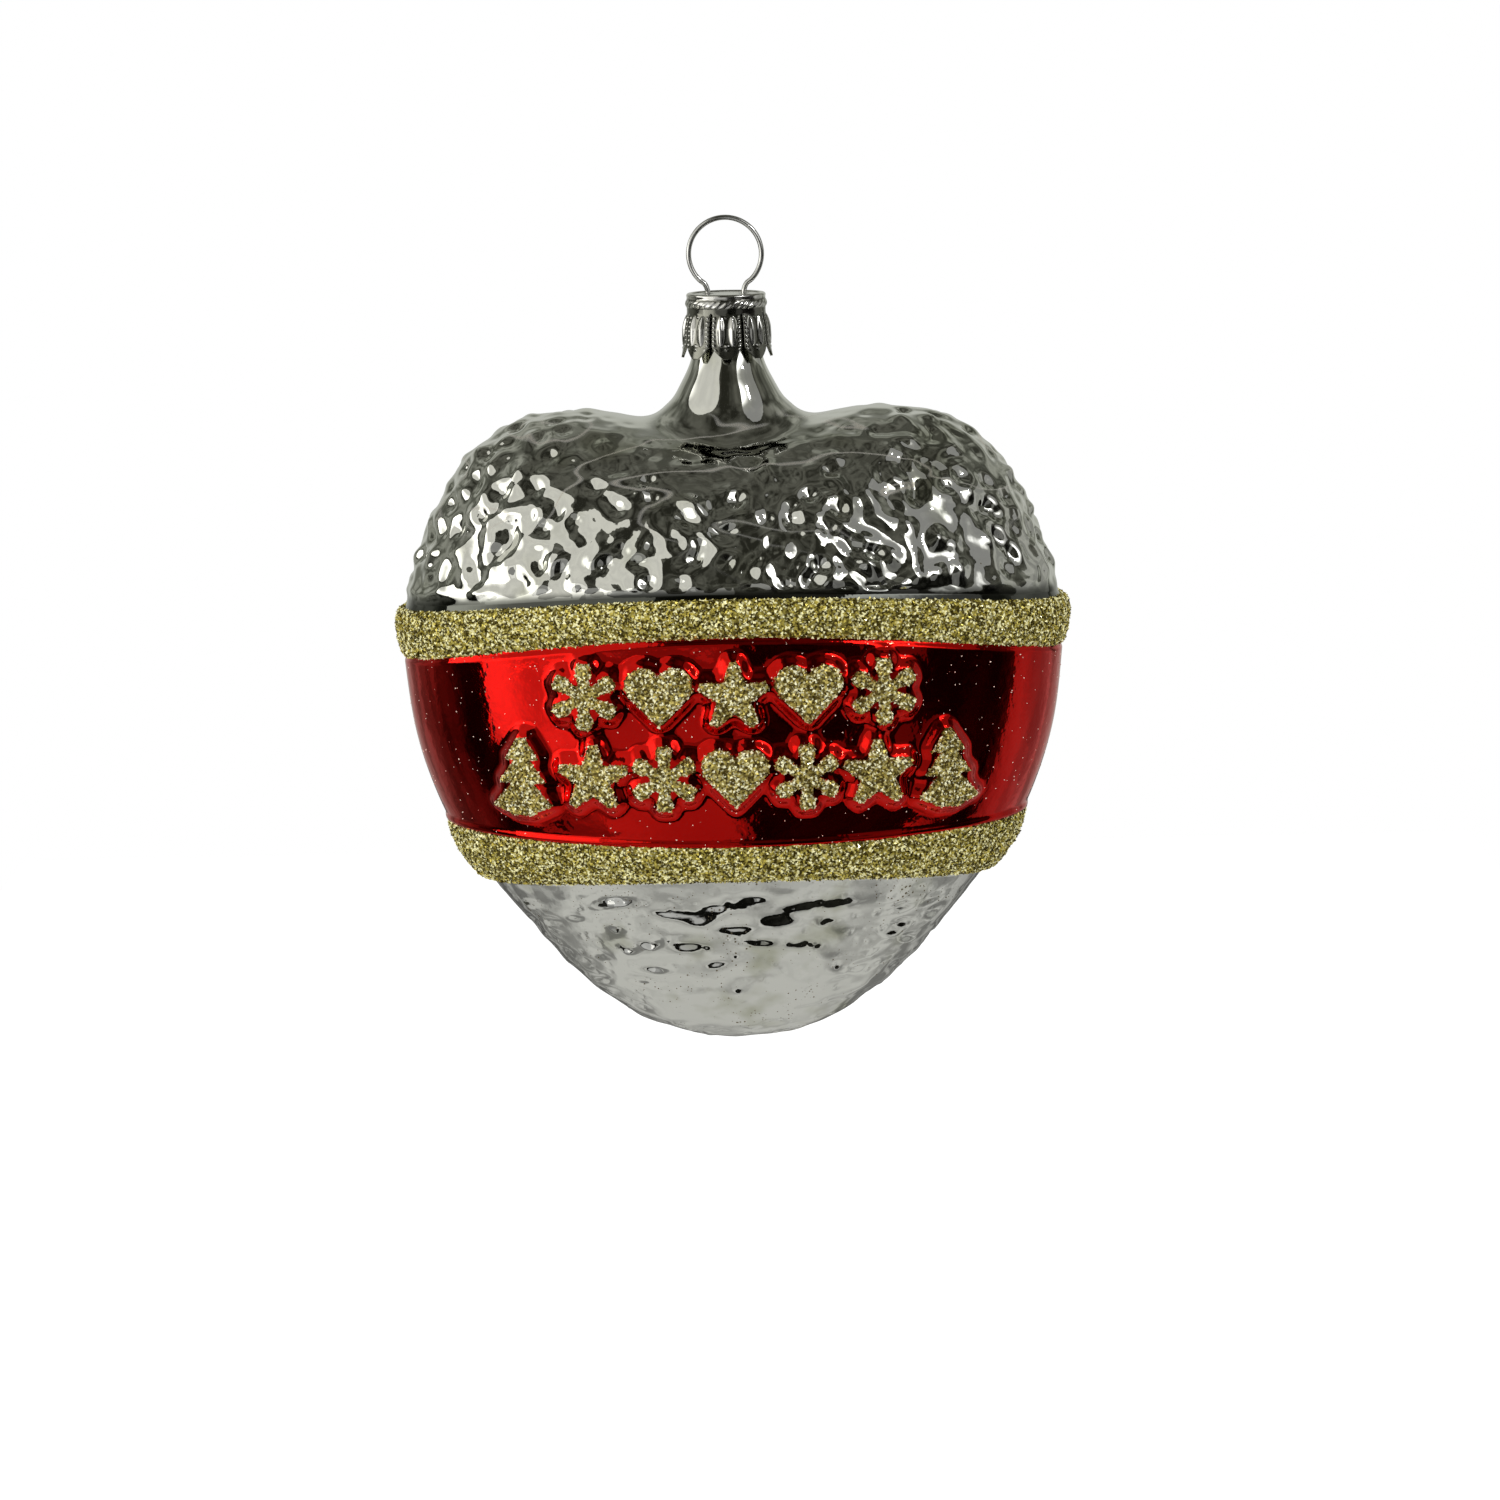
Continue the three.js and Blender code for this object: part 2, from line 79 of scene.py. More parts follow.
def glassStations():
    # Rows of half width, side height, half depth and front height, from the neck's rim to past the tip
    width, depth, top = glass["halfWidth"], glass["halfDepth"], glass["lobeHeight"]
    notch = np.array([0.261 * width, 0.988 * top, 0.401 * depth, 0.956 * top])
    foot = notch[1] + glass["flareHeight"]
    neckFoot = np.array([glass["neckFootRadius"], foot, glass["neckFootRadius"], foot])
    rim = np.array([glass["neckRadius"], rimHeight, glass["neckRadius"], rimHeight])
    middleRadius = glass["neckRadius"] + (glass["neckFootRadius"] - glass["neckRadius"]) / 6
    neckMiddle = np.array([middleRadius, (rimHeight + foot) / 2, middleRadius, (rimHeight + foot) / 2])
    flares = [neckFoot + (notch - neckFoot) * np.array(share) for share in (
        (0.214, 0.42, 0.243, 0.32), (0.487, 0.768, 0.515, 0.667))]
    shares = np.array([
        (0.436, 1.0, 0.534, 0.934), (0.621, 0.989, 0.664, 0.907), (0.765, 0.949, 0.776, 0.875),
        (0.864, 0.89, 0.866, 0.836), (0.935, 0.815, 0.931, 0.798), (0.977, 0.758, 0.97, 0.769),
        (1.0, 0.706, 0.991, 0.743), (0.995, 0.621, 1.0, 0.677), (0.963, 0.5, 0.974, 0.524),
        (0.883, 0.378, 0.892, 0.367), (0.762, 0.269, 0.784, 0.294), (0.648, 0.195, 0.672, 0.215),
        (0.475, 0.1, 0.509, 0.114), (0.261, 0.027, 0.284, 0.035), (0, 0, 0, 0)])
    body = shares * np.array([width, top, depth, top])
    beyondTip = body[-2] * np.array([-1, 1, -1, 1])
    return np.vstack([rim, neckMiddle, neckFoot, *flares, notch, body, beyondTip])


stations = glassStations()
footPlace, notchPlace = 2, 5  # stations of the neck's foot and of the notch between the lobes
firstBody = 8  # from this station on the sides only fall
lastPlace = len(stations) - 2
atSide, atFront = 1, 3  # columns of a station that hold heights


def smoothRun(rows, at):
    # Uniform Catmull-Rom curve through the rows, at fractional row numbers
    padded = np.vstack([2 * rows[0] - rows[1], rows, 2 * rows[-1] - rows[-2]])
    at = np.clip(np.asarray(at, float), 0, len(rows) - 1)
    whole = np.minimum(np.floor(at).astype(int), len(rows) - 2)
    share = (at - whole)[..., None]
    before, here, after, later = (padded[whole + i] for i in range(4))
    return 0.5 * (2 * here + (after - before) * share
                  + (2 * before - 5 * here + 4 * after - later) * share ** 2
                  + (3 * here - before - 3 * after + later) * share ** 3)


def glassPoint(turn, place):
    # Half width times cosine, half depth times sine, and a height that goes from the side's to the front's
    width, side, depth, ahead = np.moveaxis(smoothRun(stations, place), -1, 0)
    c, s = np.cos(turn), np.sin(turn)
    return np.stack([width * c, depth * s, tipZ + side * c * c + ahead * s * s], -1)


def glassNormal(turn, place):
    # Across the small steps up and around
    step = 1e-3
    near = np.clip(place, step, lastPlace - 2 * step)
    upwards = glassPoint(turn, near - step) - glassPoint(turn, near + step)
    around = glassPoint(turn + step, near) - glassPoint(turn - step, near)
    normal = np.cross(around, upwards)
    return normal / np.linalg.norm(normal, axis=-1, keepdims=True)


def overGlass(turn, place, outward):
    # A point of the glass moved along its normal
    return glassPoint(turn, place) + glassNormal(turn, place) * np.asarray(outward)[..., None]


def placeAt(height, column):
    # The fractional station at a height, with the curve read backwards
    places = np.linspace(firstBody, lastPlace, 4001)
    return float(np.interp(-height, -smoothRun(stations, places)[:, column], places))


def sideHeight(place):
    return smoothRun(stations, place)[..., atSide]


upperEdge = placeAt(bands["upperEdge"], atFront)
lowerEdge = placeAt(bands["lowerEdge"], atFront)
upperBand = placeAt(sideHeight(upperEdge) + bands["upperWidth"], atSide), upperEdge
lowerBand = lowerEdge, placeAt(sideHeight(lowerEdge) - bands["lowerWidth"], atSide)
meeting = (upperBand[1] + lowerBand[0]) / 2


def roll(place, band, rise):
    # Half a sine wave across a band, made fuller by its power
    share = np.clip((place - band[0]) / (band[1] - band[0]), 0, 1)
    return rise * np.sin(np.pi * share) ** 0.7


def swell(place):
    return roll(place, upperBand, bands["upperRise"]) + roll(place, lowerBand, bands["lowerRise"])


def fade(start, end, value):
    # 0 before the start, 1 after the end, smooth between them
    share = np.clip((value - start) / (end - start), 0, 1)
    return share * share * (3 - 2 * share)


def lengthAlong(points):
    # Length from the first point to each point
    return np.concatenate([[0], np.cumsum(np.linalg.norm(np.diff(points, axis=0), axis=1))])


def evenPlaces(start, end, spacing):
    # Places between two stations about a spacing apart, measured along the side of the glass
    places = np.linspace(start, end, 2001)
    length = lengthAlong(smoothRun(stations, places)[:, :2])
    count = max(2, round(length[-1] / spacing))
    return np.interp(np.linspace(0, length[-1], count + 1), length, places)


def turnsAround(sizes):
    # Turns for one ring at the widest place, with a finer step on the front than on the back
    turns = np.linspace(0, 2 * np.pi, 20001)
    speed = np.hypot(glass["halfWidth"] * np.sin(turns), glass["halfDepth"] * np.cos(turns))
    step = sizes["backStep"] + (sizes["frontStep"] - sizes["backStep"]) * fade(-0.4, 0.5, -np.sin(turns))
    columns = np.concatenate([[0], np.cumsum((speed / step)[:-1] * np.diff(turns))])
    count = int(columns[-1])
    return np.interp(np.arange(count) * columns[-1] / count, columns, turns)


def scatter(cells, seed):
    # Three numbers from 0 to 1 for each whole-number cell, from the fraction of a large sine
    mixed = cells @ np.array([[127.1, 269.5, 113.5], [311.7, 183.3, 271.9], [74.7, 246.1, 124.6]])
    return np.modf(np.abs(np.sin(mixed + seed) * 43758.5453))[0]


nearbyCells = [np.array(offset) for offset in itertools.product((-1, 0, 1), repeat=3)]
cellCorners = [np.array(offset) for offset in itertools.product((0, 1), repeat=3)]


def cloud(points, size, seed):
    # Smooth noise from -1 to 1: scattered values at the corners of a cubic grid, eased between them
    scaled = points / size
    base = np.floor(scaled)
    share = scaled - base
    ease = share * share * (3 - 2 * share)
    total = np.zeros(points.shape[:-1])
    for corner in cellCorners:
        weight = np.prod(np.where(corner == 1, ease, 1 - ease), axis=-1)
        total += weight * scatter(base + corner, seed)[..., 0]
    return 2 * total - 1


def nearbyCentres(points, size, seed, evenness):
    # For each cell around every point: the squared distance to its scattered centre, and a number of its own
    scaled = points / size
    base = np.floor(scaled)
    for offset in nearbyCells:
        cell = base + offset
        centre = cell + 0.5 + evenness * (scatter(cell, seed) - 0.5)
        yield np.sum((centre - scaled) ** 2, axis=-1), scatter(cell, seed + 7.3)[..., 1]


def dimples(points, size, seed, roundness, evenness):
    # Squared distance to scattered centres, blended by closeness, so that the ridges between the hollows are
    # round. Each hollow has a depth of its own.
    total = np.zeros(points.shape[:-1])
    weights = np.zeros(points.shape[:-1])
    for squared, own in nearbyCentres(points, size, seed, evenness):
        weight = np.exp(-roundness * squared)
        depth = 0.3 + 1.4 * own
        total += weight * depth * squared
        weights += weight
    return total / weights


def bumps(points, size, seed, width, low):
    # Round bumps of unlike heights, from the low share up to 1, around scattered centres
    total = np.zeros(points.shape[:-1])
    for squared, own in nearbyCentres(points, size, seed, 0.9):
        height = low + (1 - low) * own
        total += height * np.exp(-squared / width ** 2)
    return total


def addObject(name, data):
    made = bpy.data.objects.new(name, data)
    bpy.context.scene.collection.objects.link(made)
    return made


def pieceFrom(name, points, faces, body, slot, *replaced):
    # A closed, smooth mesh, turned the right way out by the sign of its volume
    mesh = bpy.data.meshes.new(name)
    mesh.from_pydata(points.tolist(), [], [face for block in faces for face in block.tolist()])
    mesh.calc_loop_triangles()
    corners = np.empty(len(mesh.loop_triangles) * 3, int)
    mesh.loop_triangles.foreach_get("vertices", corners)
    a, b, c = np.moveaxis(points[corners].reshape(-1, 3, 3), 1, 0)
    if np.sum(a * np.cross(b, c)) < 0:
        mesh.flip_normals()
    mesh.shade_smooth()
    piece = addObject(name, mesh)
    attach(piece, body)
    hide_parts(*replaced)
    return piece


def storeValues(piece, name, values):
    layer = piece.data.attributes.new(name, "FLOAT", "POINT")
    layer.data.foreach_set("value", np.asarray(values, float).ravel())


def meshArrays(piece):
    mesh = piece.data
    mesh.calc_loop_triangles()
    points = np.empty(len(mesh.vertices) * 3)
    mesh.vertices.foreach_get("co", points)
    corners = np.empty(len(mesh.loop_triangles) * 3, int)
    mesh.loop_triangles.foreach_get("vertices", corners)
    return points.reshape(-1, 3), corners.reshape(-1, 3)


def applyModifiers(piece):
    made = piece.evaluated_get(bpy.context.evaluated_depsgraph_get())
    piece.data = bpy.data.meshes.new_from_object(made)
    piece.modifiers.clear()
    piece.data.materials.clear()


def ringFaces(rows, columns, comesRound):
    # Quads between neighbouring rows of a grid whose columns come round, also from the last row to the first
    row = np.arange(rows if comesRound else rows - 1)[:, None] * columns
    column = np.arange(columns)[None, :]
    after = (column + 1) % columns
    below = (row + columns) % (rows * columns)
    return np.stack([row + column, row + after, below + after, below + column], -1).reshape(-1, 4)


def poleFaces(pole, start, columns):
    column = np.arange(columns)
    return np.stack([np.full(columns, pole), start + column, start + (column + 1) % columns], -1)


def cappedFaces(rows, columns):
    # A grid of rings closed at both ends by the two points that follow it
    first = rows * columns
    return [ringFaces(rows, columns, False), poleFaces(first, 0, columns)[:, ::-1],
            poleFaces(first + 1, first - columns, columns)]


def shellPoints(turn, place, outward, inside, inward):
    # The outside grid raised outward over the glass, then the inside rows raised by what inward says there
    innerTurn, innerPlace = np.meshgrid(turn[0], inside)
    outer = overGlass(turn, place, outward)
    inner = overGlass(innerTurn, innerPlace, inward(innerPlace))
    return np.concatenate([outer, inner]).reshape(-1, 3)


# Glass: two hollow shells that meet under the red band, the upper one open at the neck's rim
hammering = {
    "frontStep": 0.35 * mm,
    "backStep": 0.55 * mm,
    "rowStep": 0.275 * mm,
    "neckStep": 0.5 * mm,
    "hiddenStep": 1.3 * mm,  # under the bands
    "insideStep": 4 * mm,
    "bumpSize": 2.25 * mm,
    "bumpHeight": 0.6 * mm,
    "pitSize": 2.6 * mm,
    "pitDepth": 0.78 * mm,
    "pitWidth": 0.36,  # share of a pit's size
    "lowest": 0.3,  # the weakest bump or pit, as a share of the strongest
    "wander": 0.4 * mm,  # how far both are pulled out of shape
    "smoothNear": 9 * mm,  # from the neck's foot to where the hammering starts
    "roughFrom": 28 * mm,
    "leastShare": 0.03,  # what is left of it at the neck's foot
    "startStations": (4.3, 5.9),  # it grows between these stations
    "endGap": (0.42, 0.12),  # and goes between these, counted up from the upper band
    "ledgeGap": (0.4, 0.05),  # where painted shade darkens the bare ledge over the band
    "rimGap": 0.05,  # stations from the rim to the first row inside
}
dimpling = {
    "frontStep": 0.36 * mm,
    "backStep": 0.55 * mm,
    "rowStep": 0.3 * mm,
    "bumpSize": 2.3 * mm,
    "bumpHeight": 0.33 * mm,
    "pitSize": 2.1 * mm,
    "pitDepth": 0.32 * mm,
    "pitWidth": 0.34,
    "lowest": 0.2,
    "wander": 0.8 * mm,
    "smallSize": 1.5 * mm,  # small round marks, some raised and some sunk
    "smallHeight": 0.15 * mm,
    "stretch": np.array([0.5, 0.5, 1.15]),  # the marks are longer sideways than upwards
    "startGap": (0.1, 0.4),  # stations below the lower band between which it grows
    "poleGap": 0.03,  # stations from the last ring to the tip
    "innerPoleGap": 0.4,
}
halfSeam = 0.02  # stations from the meeting to each shell's end


def wallThickness(place):
    # The neck's down to its foot, the body's from the notch on
    share = fade(footPlace, notchPlace, place)
    return glass["neckWall"] + (glass["wall"] - glass["neckWall"]) * share


def pulled(points, far, seed):
    # Points moved by three slow clouds, which bends what is drawn at them
    return points + far * np.stack([cloud(points, 6 * mm, seed + i) for i in range(3)], -1)


def beaten(points, sizes, seed):
    # Bumps less pits, with the usual level of each taken off
    usualBump, usualPit, bumpWidth = 0.5, 0.2, 0.5
    raised = bumps(points, sizes["bumpSize"], seed, bumpWidth, sizes["lowest"]) - usualBump
    sunk = bumps(points, sizes["pitSize"], seed + 10, sizes["pitWidth"], sizes["lowest"]) - usualPit
    return sizes["bumpHeight"] * raised - sizes["pitDepth"] * sunk


def hammered(points):
    # Strong on the lobes, fading to almost nothing at the neck's foot
    relief = beaten(pulled(points, hammering["wander"], seed=21.0), hammering, seed=3.0)
    neckFoot = np.array([0, 0, tipZ + stations[footPlace, atSide]])
    distance = np.linalg.norm(points - neckFoot, axis=-1)
    away = fade(hammering["smoothNear"], hammering["roughFrom"], distance)
    return (hammering["leastShare"] + (1 - hammering["leastShare"]) * away) * relief


def dimpled(points):
    # Long shallow marks, with small round ones over them
    bent = pulled(points, dimpling["wander"], seed=31.0)
    relief = beaten(bent * dimpling["stretch"], dimpling, seed=43.0)
    small = bumps(points, dimpling["smallSize"], seed=63.0, width=0.24, low=-1.0)
    return relief + dimpling["smallHeight"] * small


def makeUpperGlass():
    # Outside rows from the rim down to the meeting, inside rows back up to the rim
    end = meeting - halfSeam
    outside = np.concatenate([
        evenPlaces(0, notchPlace, hammering["neckStep"])[:-1],
        evenPlaces(notchPlace, upperBand[0], hammering["rowStep"])[:-1],
        evenPlaces(upperBand[0], end, hammering["hiddenStep"])])
    inside = evenPlaces(hammering["rimGap"], end, hammering["insideStep"])[::-1]
    turn, place = np.meshgrid(turnsAround(hammering), outside)
    ending = fade(*(upperBand[0] - gap for gap in hammering["endGap"]), place)
    # Share of painted shade on the bare ledge over the upper band
    ledge = fade(*(upperBand[0] - gap for gap in hammering["ledgeGap"]), place)
    shown = fade(*hammering["startStations"], place) * (1 - ending)
    relief = shown * hammered(glassPoint(turn, place))
    points = shellPoints(turn, place, swell(place) + relief, inside, lambda at: -wallThickness(at))
    rows, columns = len(outside) + len(inside), turn.shape[1]
    piece = pieceFrom("glass_lobes_and_neck", points, [ringFaces(rows, columns, True)],
                      "glass", "silvered_glass", "glass_heart")
    storeValues(piece, "ledge", np.concatenate([ledge, np.zeros((len(inside), columns))]))
    return piece


def makeLowerGlass():
    # Outside rows from the tip up to the meeting, inside rows down again, and a pole for each end
    start, tip = meeting + halfSeam, lastPlace - dimpling["poleGap"]
    outside = np.concatenate([
        evenPlaces(start, lowerBand[1], hammering["hiddenStep"])[:-1],
        evenPlaces(lowerBand[1], tip, dimpling["rowStep"])])[::-1]
    inside = evenPlaces(start, lastPlace - dimpling["innerPoleGap"], hammering["insideStep"])
    turn, place = np.meshgrid(turnsAround(dimpling), outside)
    shown = fade(*(lowerBand[1] + gap for gap in dimpling["startGap"]), place)
    relief = shown * dimpled(glassPoint(turn, place))
    grid = shellPoints(turn, place, swell(place) + relief,
                       inside, lambda at: np.full(at.shape, -glass["wall"]))
    rows, columns = len(outside) + len(inside), turn.shape[1]
    poles = np.array([grid[:columns].mean(axis=0), [0, 0, tipZ + glass["wall"]]])
    return pieceFrom("glass_point", np.vstack([grid, poles]), cappedFaces(rows, columns),
                     "glass", "silvered_glass", "glass_heart")


upperGlass = makeUpperGlass()
lowerGlass = makeLowerGlass()
print("Glass made")

# Figures on the front of the red band: their outlines in distances to the right and up from their middles
figures = {
    "size": 7.6 * mm,
    "starWaist": 2.0 * mm,
    "pointWidth": 0.9 * mm,
    "heartLobe": 2.05 * mm,
    "heartHeight": 6.8 * mm,
    "armWidth": 1.3 * mm,
    "dropRadius": 0.9 * mm,
    "treeHeight": 9.2 * mm,
    "treeTiers": (1.9 * mm, 2.6 * mm, 3.3 * mm),
    "trunkWidth": 1.8 * mm,
    "trunkHeight": 1.2 * mm,
    "treeTopWidth": 0.7 * mm,
    "tierRoot": 0.45,
    "upperHeight": 44.6 * mm,
    "upperPitch": 8.3 * mm,
    "lowerHeight": 35.2 * mm,
    "lowerPitch": 7.9 * mm,
}


def polar(radius, angles):
    # Points at a radius and angles, to the right and up
    angles = np.asarray(angles, float)
    return np.stack([radius * np.cos(angles), radius * np.sin(angles)], -1)


def starOutline():
    # Five blunt points with a waist point before each
    reach = figures["size"] / 2 / math.cos(math.pi / 10)
    blunt = figures["pointWidth"] / 2 / reach
    outline = []
    for angle in math.pi / 2 + np.arange(5) * 2 * math.pi / 5:
        waist = polar(figures["starWaist"], angle - math.pi / 5)
        outline += [waist, *polar(reach, [angle - blunt, angle + blunt])]
    return np.array(outline)


def snowflakeOutline():
    # Six arms with a drop at the end of each
    reach, half, drop = figures["size"] / 2, figures["armWidth"] / 2, figures["dropRadius"]
    valley = half / math.sin(math.pi / 6)
    side = [(reach - 2 * drop, half), (reach - 1.5 * drop, drop), (reach - 0.5 * drop, drop), (reach, half)]
    arm = np.array([(out, -aside) for out, aside in side] + side[::-1])
    outline = []
    for angle in math.pi / 2 + np.arange(6) * math.pi / 3:
        c, s = math.cos(angle), math.sin(angle)
        outline += [polar(valley, angle - math.pi / 6), *(arm @ np.array([[c, s], [-s, c]]))]
    return np.array(outline)


def heartOutline():
    # A straight side from the point to where it touches the lobe's circle, and the circle up to the cleft
    point = np.array([0, -figures["heartHeight"] / 2])
    lobe = np.array([figures["size"] / 2, figures["heartHeight"] / 2]) - figures["heartLobe"]
    away = point - lobe
    sideStart = math.atan2(away[1], away[0]) + math.acos(figures["heartLobe"] / np.linalg.norm(away))
    cleft = math.pi - math.acos(lobe[0] / figures["heartLobe"])
    right = lobe + polar(figures["heartLobe"], np.linspace(sideStart, cleft, 10))
    left = right[-2::-1] * [-1, 1]
    return np.vstack([point, right, left])


def treeOutline():
    # A trunk under three tiers, each wider than the one over it
    height, trunk, tiers = figures["treeHeight"], figures["trunkHeight"], figures["treeTiers"]
    tier = (height - trunk) / len(tiers)
    right = [(figures["trunkWidth"] / 2, -height / 2)]
    for i, spread in enumerate(tiers[::-1]):
        base = trunk - height / 2 + i * tier
        right.append((spread, base))
        if i < len(tiers) - 1:
            right.append((tiers[len(tiers) - i - 2] * figures["tierRoot"], base + tier))
    right.append((figures["treeTopWidth"] / 2, height / 2))
    right = np.array(right)
    return np.vstack([right, right[::-1] * [-1, 1]])


upperRow = [("upper_snowflake_left", snowflakeOutline), ("upper_heart_left", heartOutline),
            ("upper_star", starOutline), ("upper_heart_right", heartOutline),
            ("upper_snowflake_right", snowflakeOutline)]
lowerRow = [("fir_tree_left", treeOutline), ("lower_star_left", starOutline),
            ("lower_snowflake_left", snowflakeOutline), ("lower_heart", heartOutline),
            ("lower_snowflake_right", snowflakeOutline), ("lower_star_right", starOutline),
            ("fir_tree_right", treeOutline)]


def rowOutlines(row, height, pitch):
    # The row's outlines a pitch apart, centred on the front
    middle = (len(row) - 1) / 2
    return {name: outline() + [(i - middle) * pitch, tipZ + height]
            for i, (name, outline) in enumerate(row)}


figureOutlines = {**rowOutlines(upperRow, figures["upperHeight"], figures["upperPitch"]),
                  **rowOutlines(lowerRow, figures["lowerHeight"], figures["lowerPitch"])}


def outlineDistance(at, outline):
    # Distance of each point to a closed outline, negative inside it. A point is inside where a level line
    # from it crosses the outline an odd number of times.
    nearest = np.full(len(at), np.inf)
    inside = np.zeros(len(at), bool)
    for start, end in zip(outline, np.roll(outline, -1, axis=0)):
        edge = end - start
        along = np.clip((at - start) @ edge / (edge @ edge), 0, 1)
        nearest = np.minimum(nearest, np.linalg.norm(at - start - along[:, None] * edge, axis=1))
        crosses = (start[1] > at[:, 1]) != (end[1] > at[:, 1])
        rise = edge[1] if edge[1] != 0 else 1e-12
        inside ^= crosses & (at[:, 0] < start[0] + (at[:, 1] - start[1]) / rise * edge[0])
    return np.where(inside, -nearest, nearest)


# Red lacquer: smooth, and raised in a puffed ridge around and under every figure
lacquer = {
    "frontStep": 0.19 * mm,
    "backStep": 0.7 * mm,
    "rowStep": 0.19 * mm,
    "insideStep": 7 * mm,
    "thickness": 0.7 * mm,  # over the glass
    "edgeThickness": 0.2 * mm,
    "edgeTaper": 0.9 * mm,
    "gap": 0.05 * mm,  # under it, to the glass
    "tucked": (0.06, 0.14),  # stations that it goes under the upper and the lower glitter
    "puffHeight": 1.05 * mm,
    "puffReach": 1.25 * mm,  # from a figure's outline to the foot of the ridge
    "puffDepth": 0.3,  # share of the reach over which the ridge still rises inside the outline
    "melt": 2.0,  # grid steps over which neighbouring ridges run into each other
    "waves": ((0.05 * mm, 9 * mm, 14.0), (0.012 * mm, 2.4 * mm, 15.0)),  # height, size and seed
}


def blurred(heights, spread):
    # Neighbouring rows and columns averaged with a bell's weights; the columns come round
    reach = int(3 * spread)
    weights = np.exp(-(np.arange(-reach, reach + 1) / spread) ** 2 / 2)
    weights /= weights.sum()
    rows = np.pad(heights, ((reach, reach), (0, 0)), "edge")
    down = sum(w * rows[i:i + len(heights)] for i, w in enumerate(weights))
    return sum(w * np.roll(down, i - reach, axis=1) for i, w in enumerate(weights))


def puffs(points):
    # A rounded slope from every figure's outline down to the foot of the ridge. The distances are blurred
    # first, so that the ridges of neighbouring figures melt together.
    reach = lacquer["puffReach"]
    nearest = np.full(points.shape[:2], reach)
    isFront = points[..., 1] < 0
    at = points[isFront][:, [0, 2]]
    best = nearest[isFront]
    for outline in figureOutlines.values():
        low, high = outline.min(axis=0) - reach, outline.max(axis=0) + reach
        close = np.all((at > low) & (at < high), axis=1)
        best[close] = np.minimum(best[close], outlineDistance(at[close], outline))
    nearest[isFront] = np.maximum(best, -lacquer["puffDepth"] * reach)
    share = 1 - blurred(nearest, lacquer["melt"]) / reach
    return lacquer["puffHeight"] * blurred(fade(0, 1, share), lacquer["melt"] / 2)


def makeRedBand():
    # Thin at its two edges, with slow and quick waves between them
    top, bottom = upperBand[1] - lacquer["tucked"][0], lowerBand[0] + lacquer["tucked"][1]
    outside = evenPlaces(top, bottom, lacquer["rowStep"])
    inside = evenPlaces(top, bottom, lacquer["insideStep"])[::-1]
    turn, place = np.meshgrid(turnsAround(lacquer), outside)
    base = glassPoint(turn, place)
    row = np.arange(len(outside))
    inward = fade(0, lacquer["edgeTaper"], np.minimum(row, row[::-1])[:, None] * lacquer["rowStep"])
    thickness = lacquer["edgeThickness"] + (lacquer["thickness"] - lacquer["edgeThickness"]) * inward
    uneven = sum(height * cloud(base, size, seed) for height, size, seed in lacquer["waves"])
    points = shellPoints(turn, place, swell(place) + thickness + puffs(base) + uneven * inward,
                         inside, lambda at: swell(at) + lacquer["gap"])
    faces = ringFaces(len(outside) + len(inside), turn.shape[1], True)
    return pieceFrom("red_lacquer", points, [faces], "glass", "red_lacquer", "red_band")


redBand = makeRedBand()
print("Red band made")

# Glitter: a lumpy coat, covered all over with small pointed grains
glitter = {
    "frontStep": 0.17 * mm,
    "backStep": 0.26 * mm,
    "insideStep": 3 * mm,
    "lump": 0.42 * mm,
    "lumpHeight": 0.16 * mm,
    "thickness": 0.5 * mm,  # of a band, over the swollen glass
    "sunk": 0.1 * mm,  # the band's inside, into the glass
    "edgeShare": 0.09,  # of a band's width, for each rounded edge
    "ragged": 0.12 * mm,
    "raggedSize": 0.9 * mm,
    "figureStep": 0.15 * mm,
    "grain": 0.24 * mm,  # from a grain's middle to its corners
    "strayGrain": 0.24 * mm / 2.2,
    "flatness": 0.6,
    "smallest": 0.65,  # a grain's size runs from this share up by the spread
    "sizeSpread": 0.7,
    "lean": 0.55,  # how far grains lean away from lying flat
    "joinNear": 0.001 * mm,  # points of a solid's loose triangles that are one point
}


def lumps(points):
    # Rounded lumps: highest at the scattered centres and low between them
    usualDepth = 0.32
    depths = dimples(points, glitter["lump"], seed=41.0, roundness=14.0, evenness=0.95)
    return glitter["lumpHeight"] * (usualDepth - depths)


def makeGlitterBand(name, node, band, bare):
    # The swollen glass raised by the coat's thickness, a ragged cloud and the lumps, rounded off at its edges
    width = band[1] - band[0]
    top, bottom = band[0] + bare[0] * width, band[1] - bare[1] * width
    outside = evenPlaces(top, bottom, glitter["frontStep"])
    inside = evenPlaces(top, bottom, glitter["insideStep"])[::-1]
    turn, place = np.meshgrid(turnsAround(glitter), outside)
    share = (place - top) / (bottom - top)
    edge = np.sqrt(np.clip(np.minimum(share, 1 - share) / glitter["edgeShare"], 0, 1))
    base = glassPoint(turn, place)
    ragged = glitter["ragged"] * cloud(base, glitter["raggedSize"], seed=43.0)
    points = shellPoints(turn, place, swell(place) + edge * (glitter["thickness"] + ragged + lumps(base)),
                         inside, lambda at: swell(at) - glitter["sunk"])
    faces = ringFaces(len(outside) + len(inside), turn.shape[1], True)
    return pieceFrom(name, points, [faces], "glass", "gold_glitter", node)


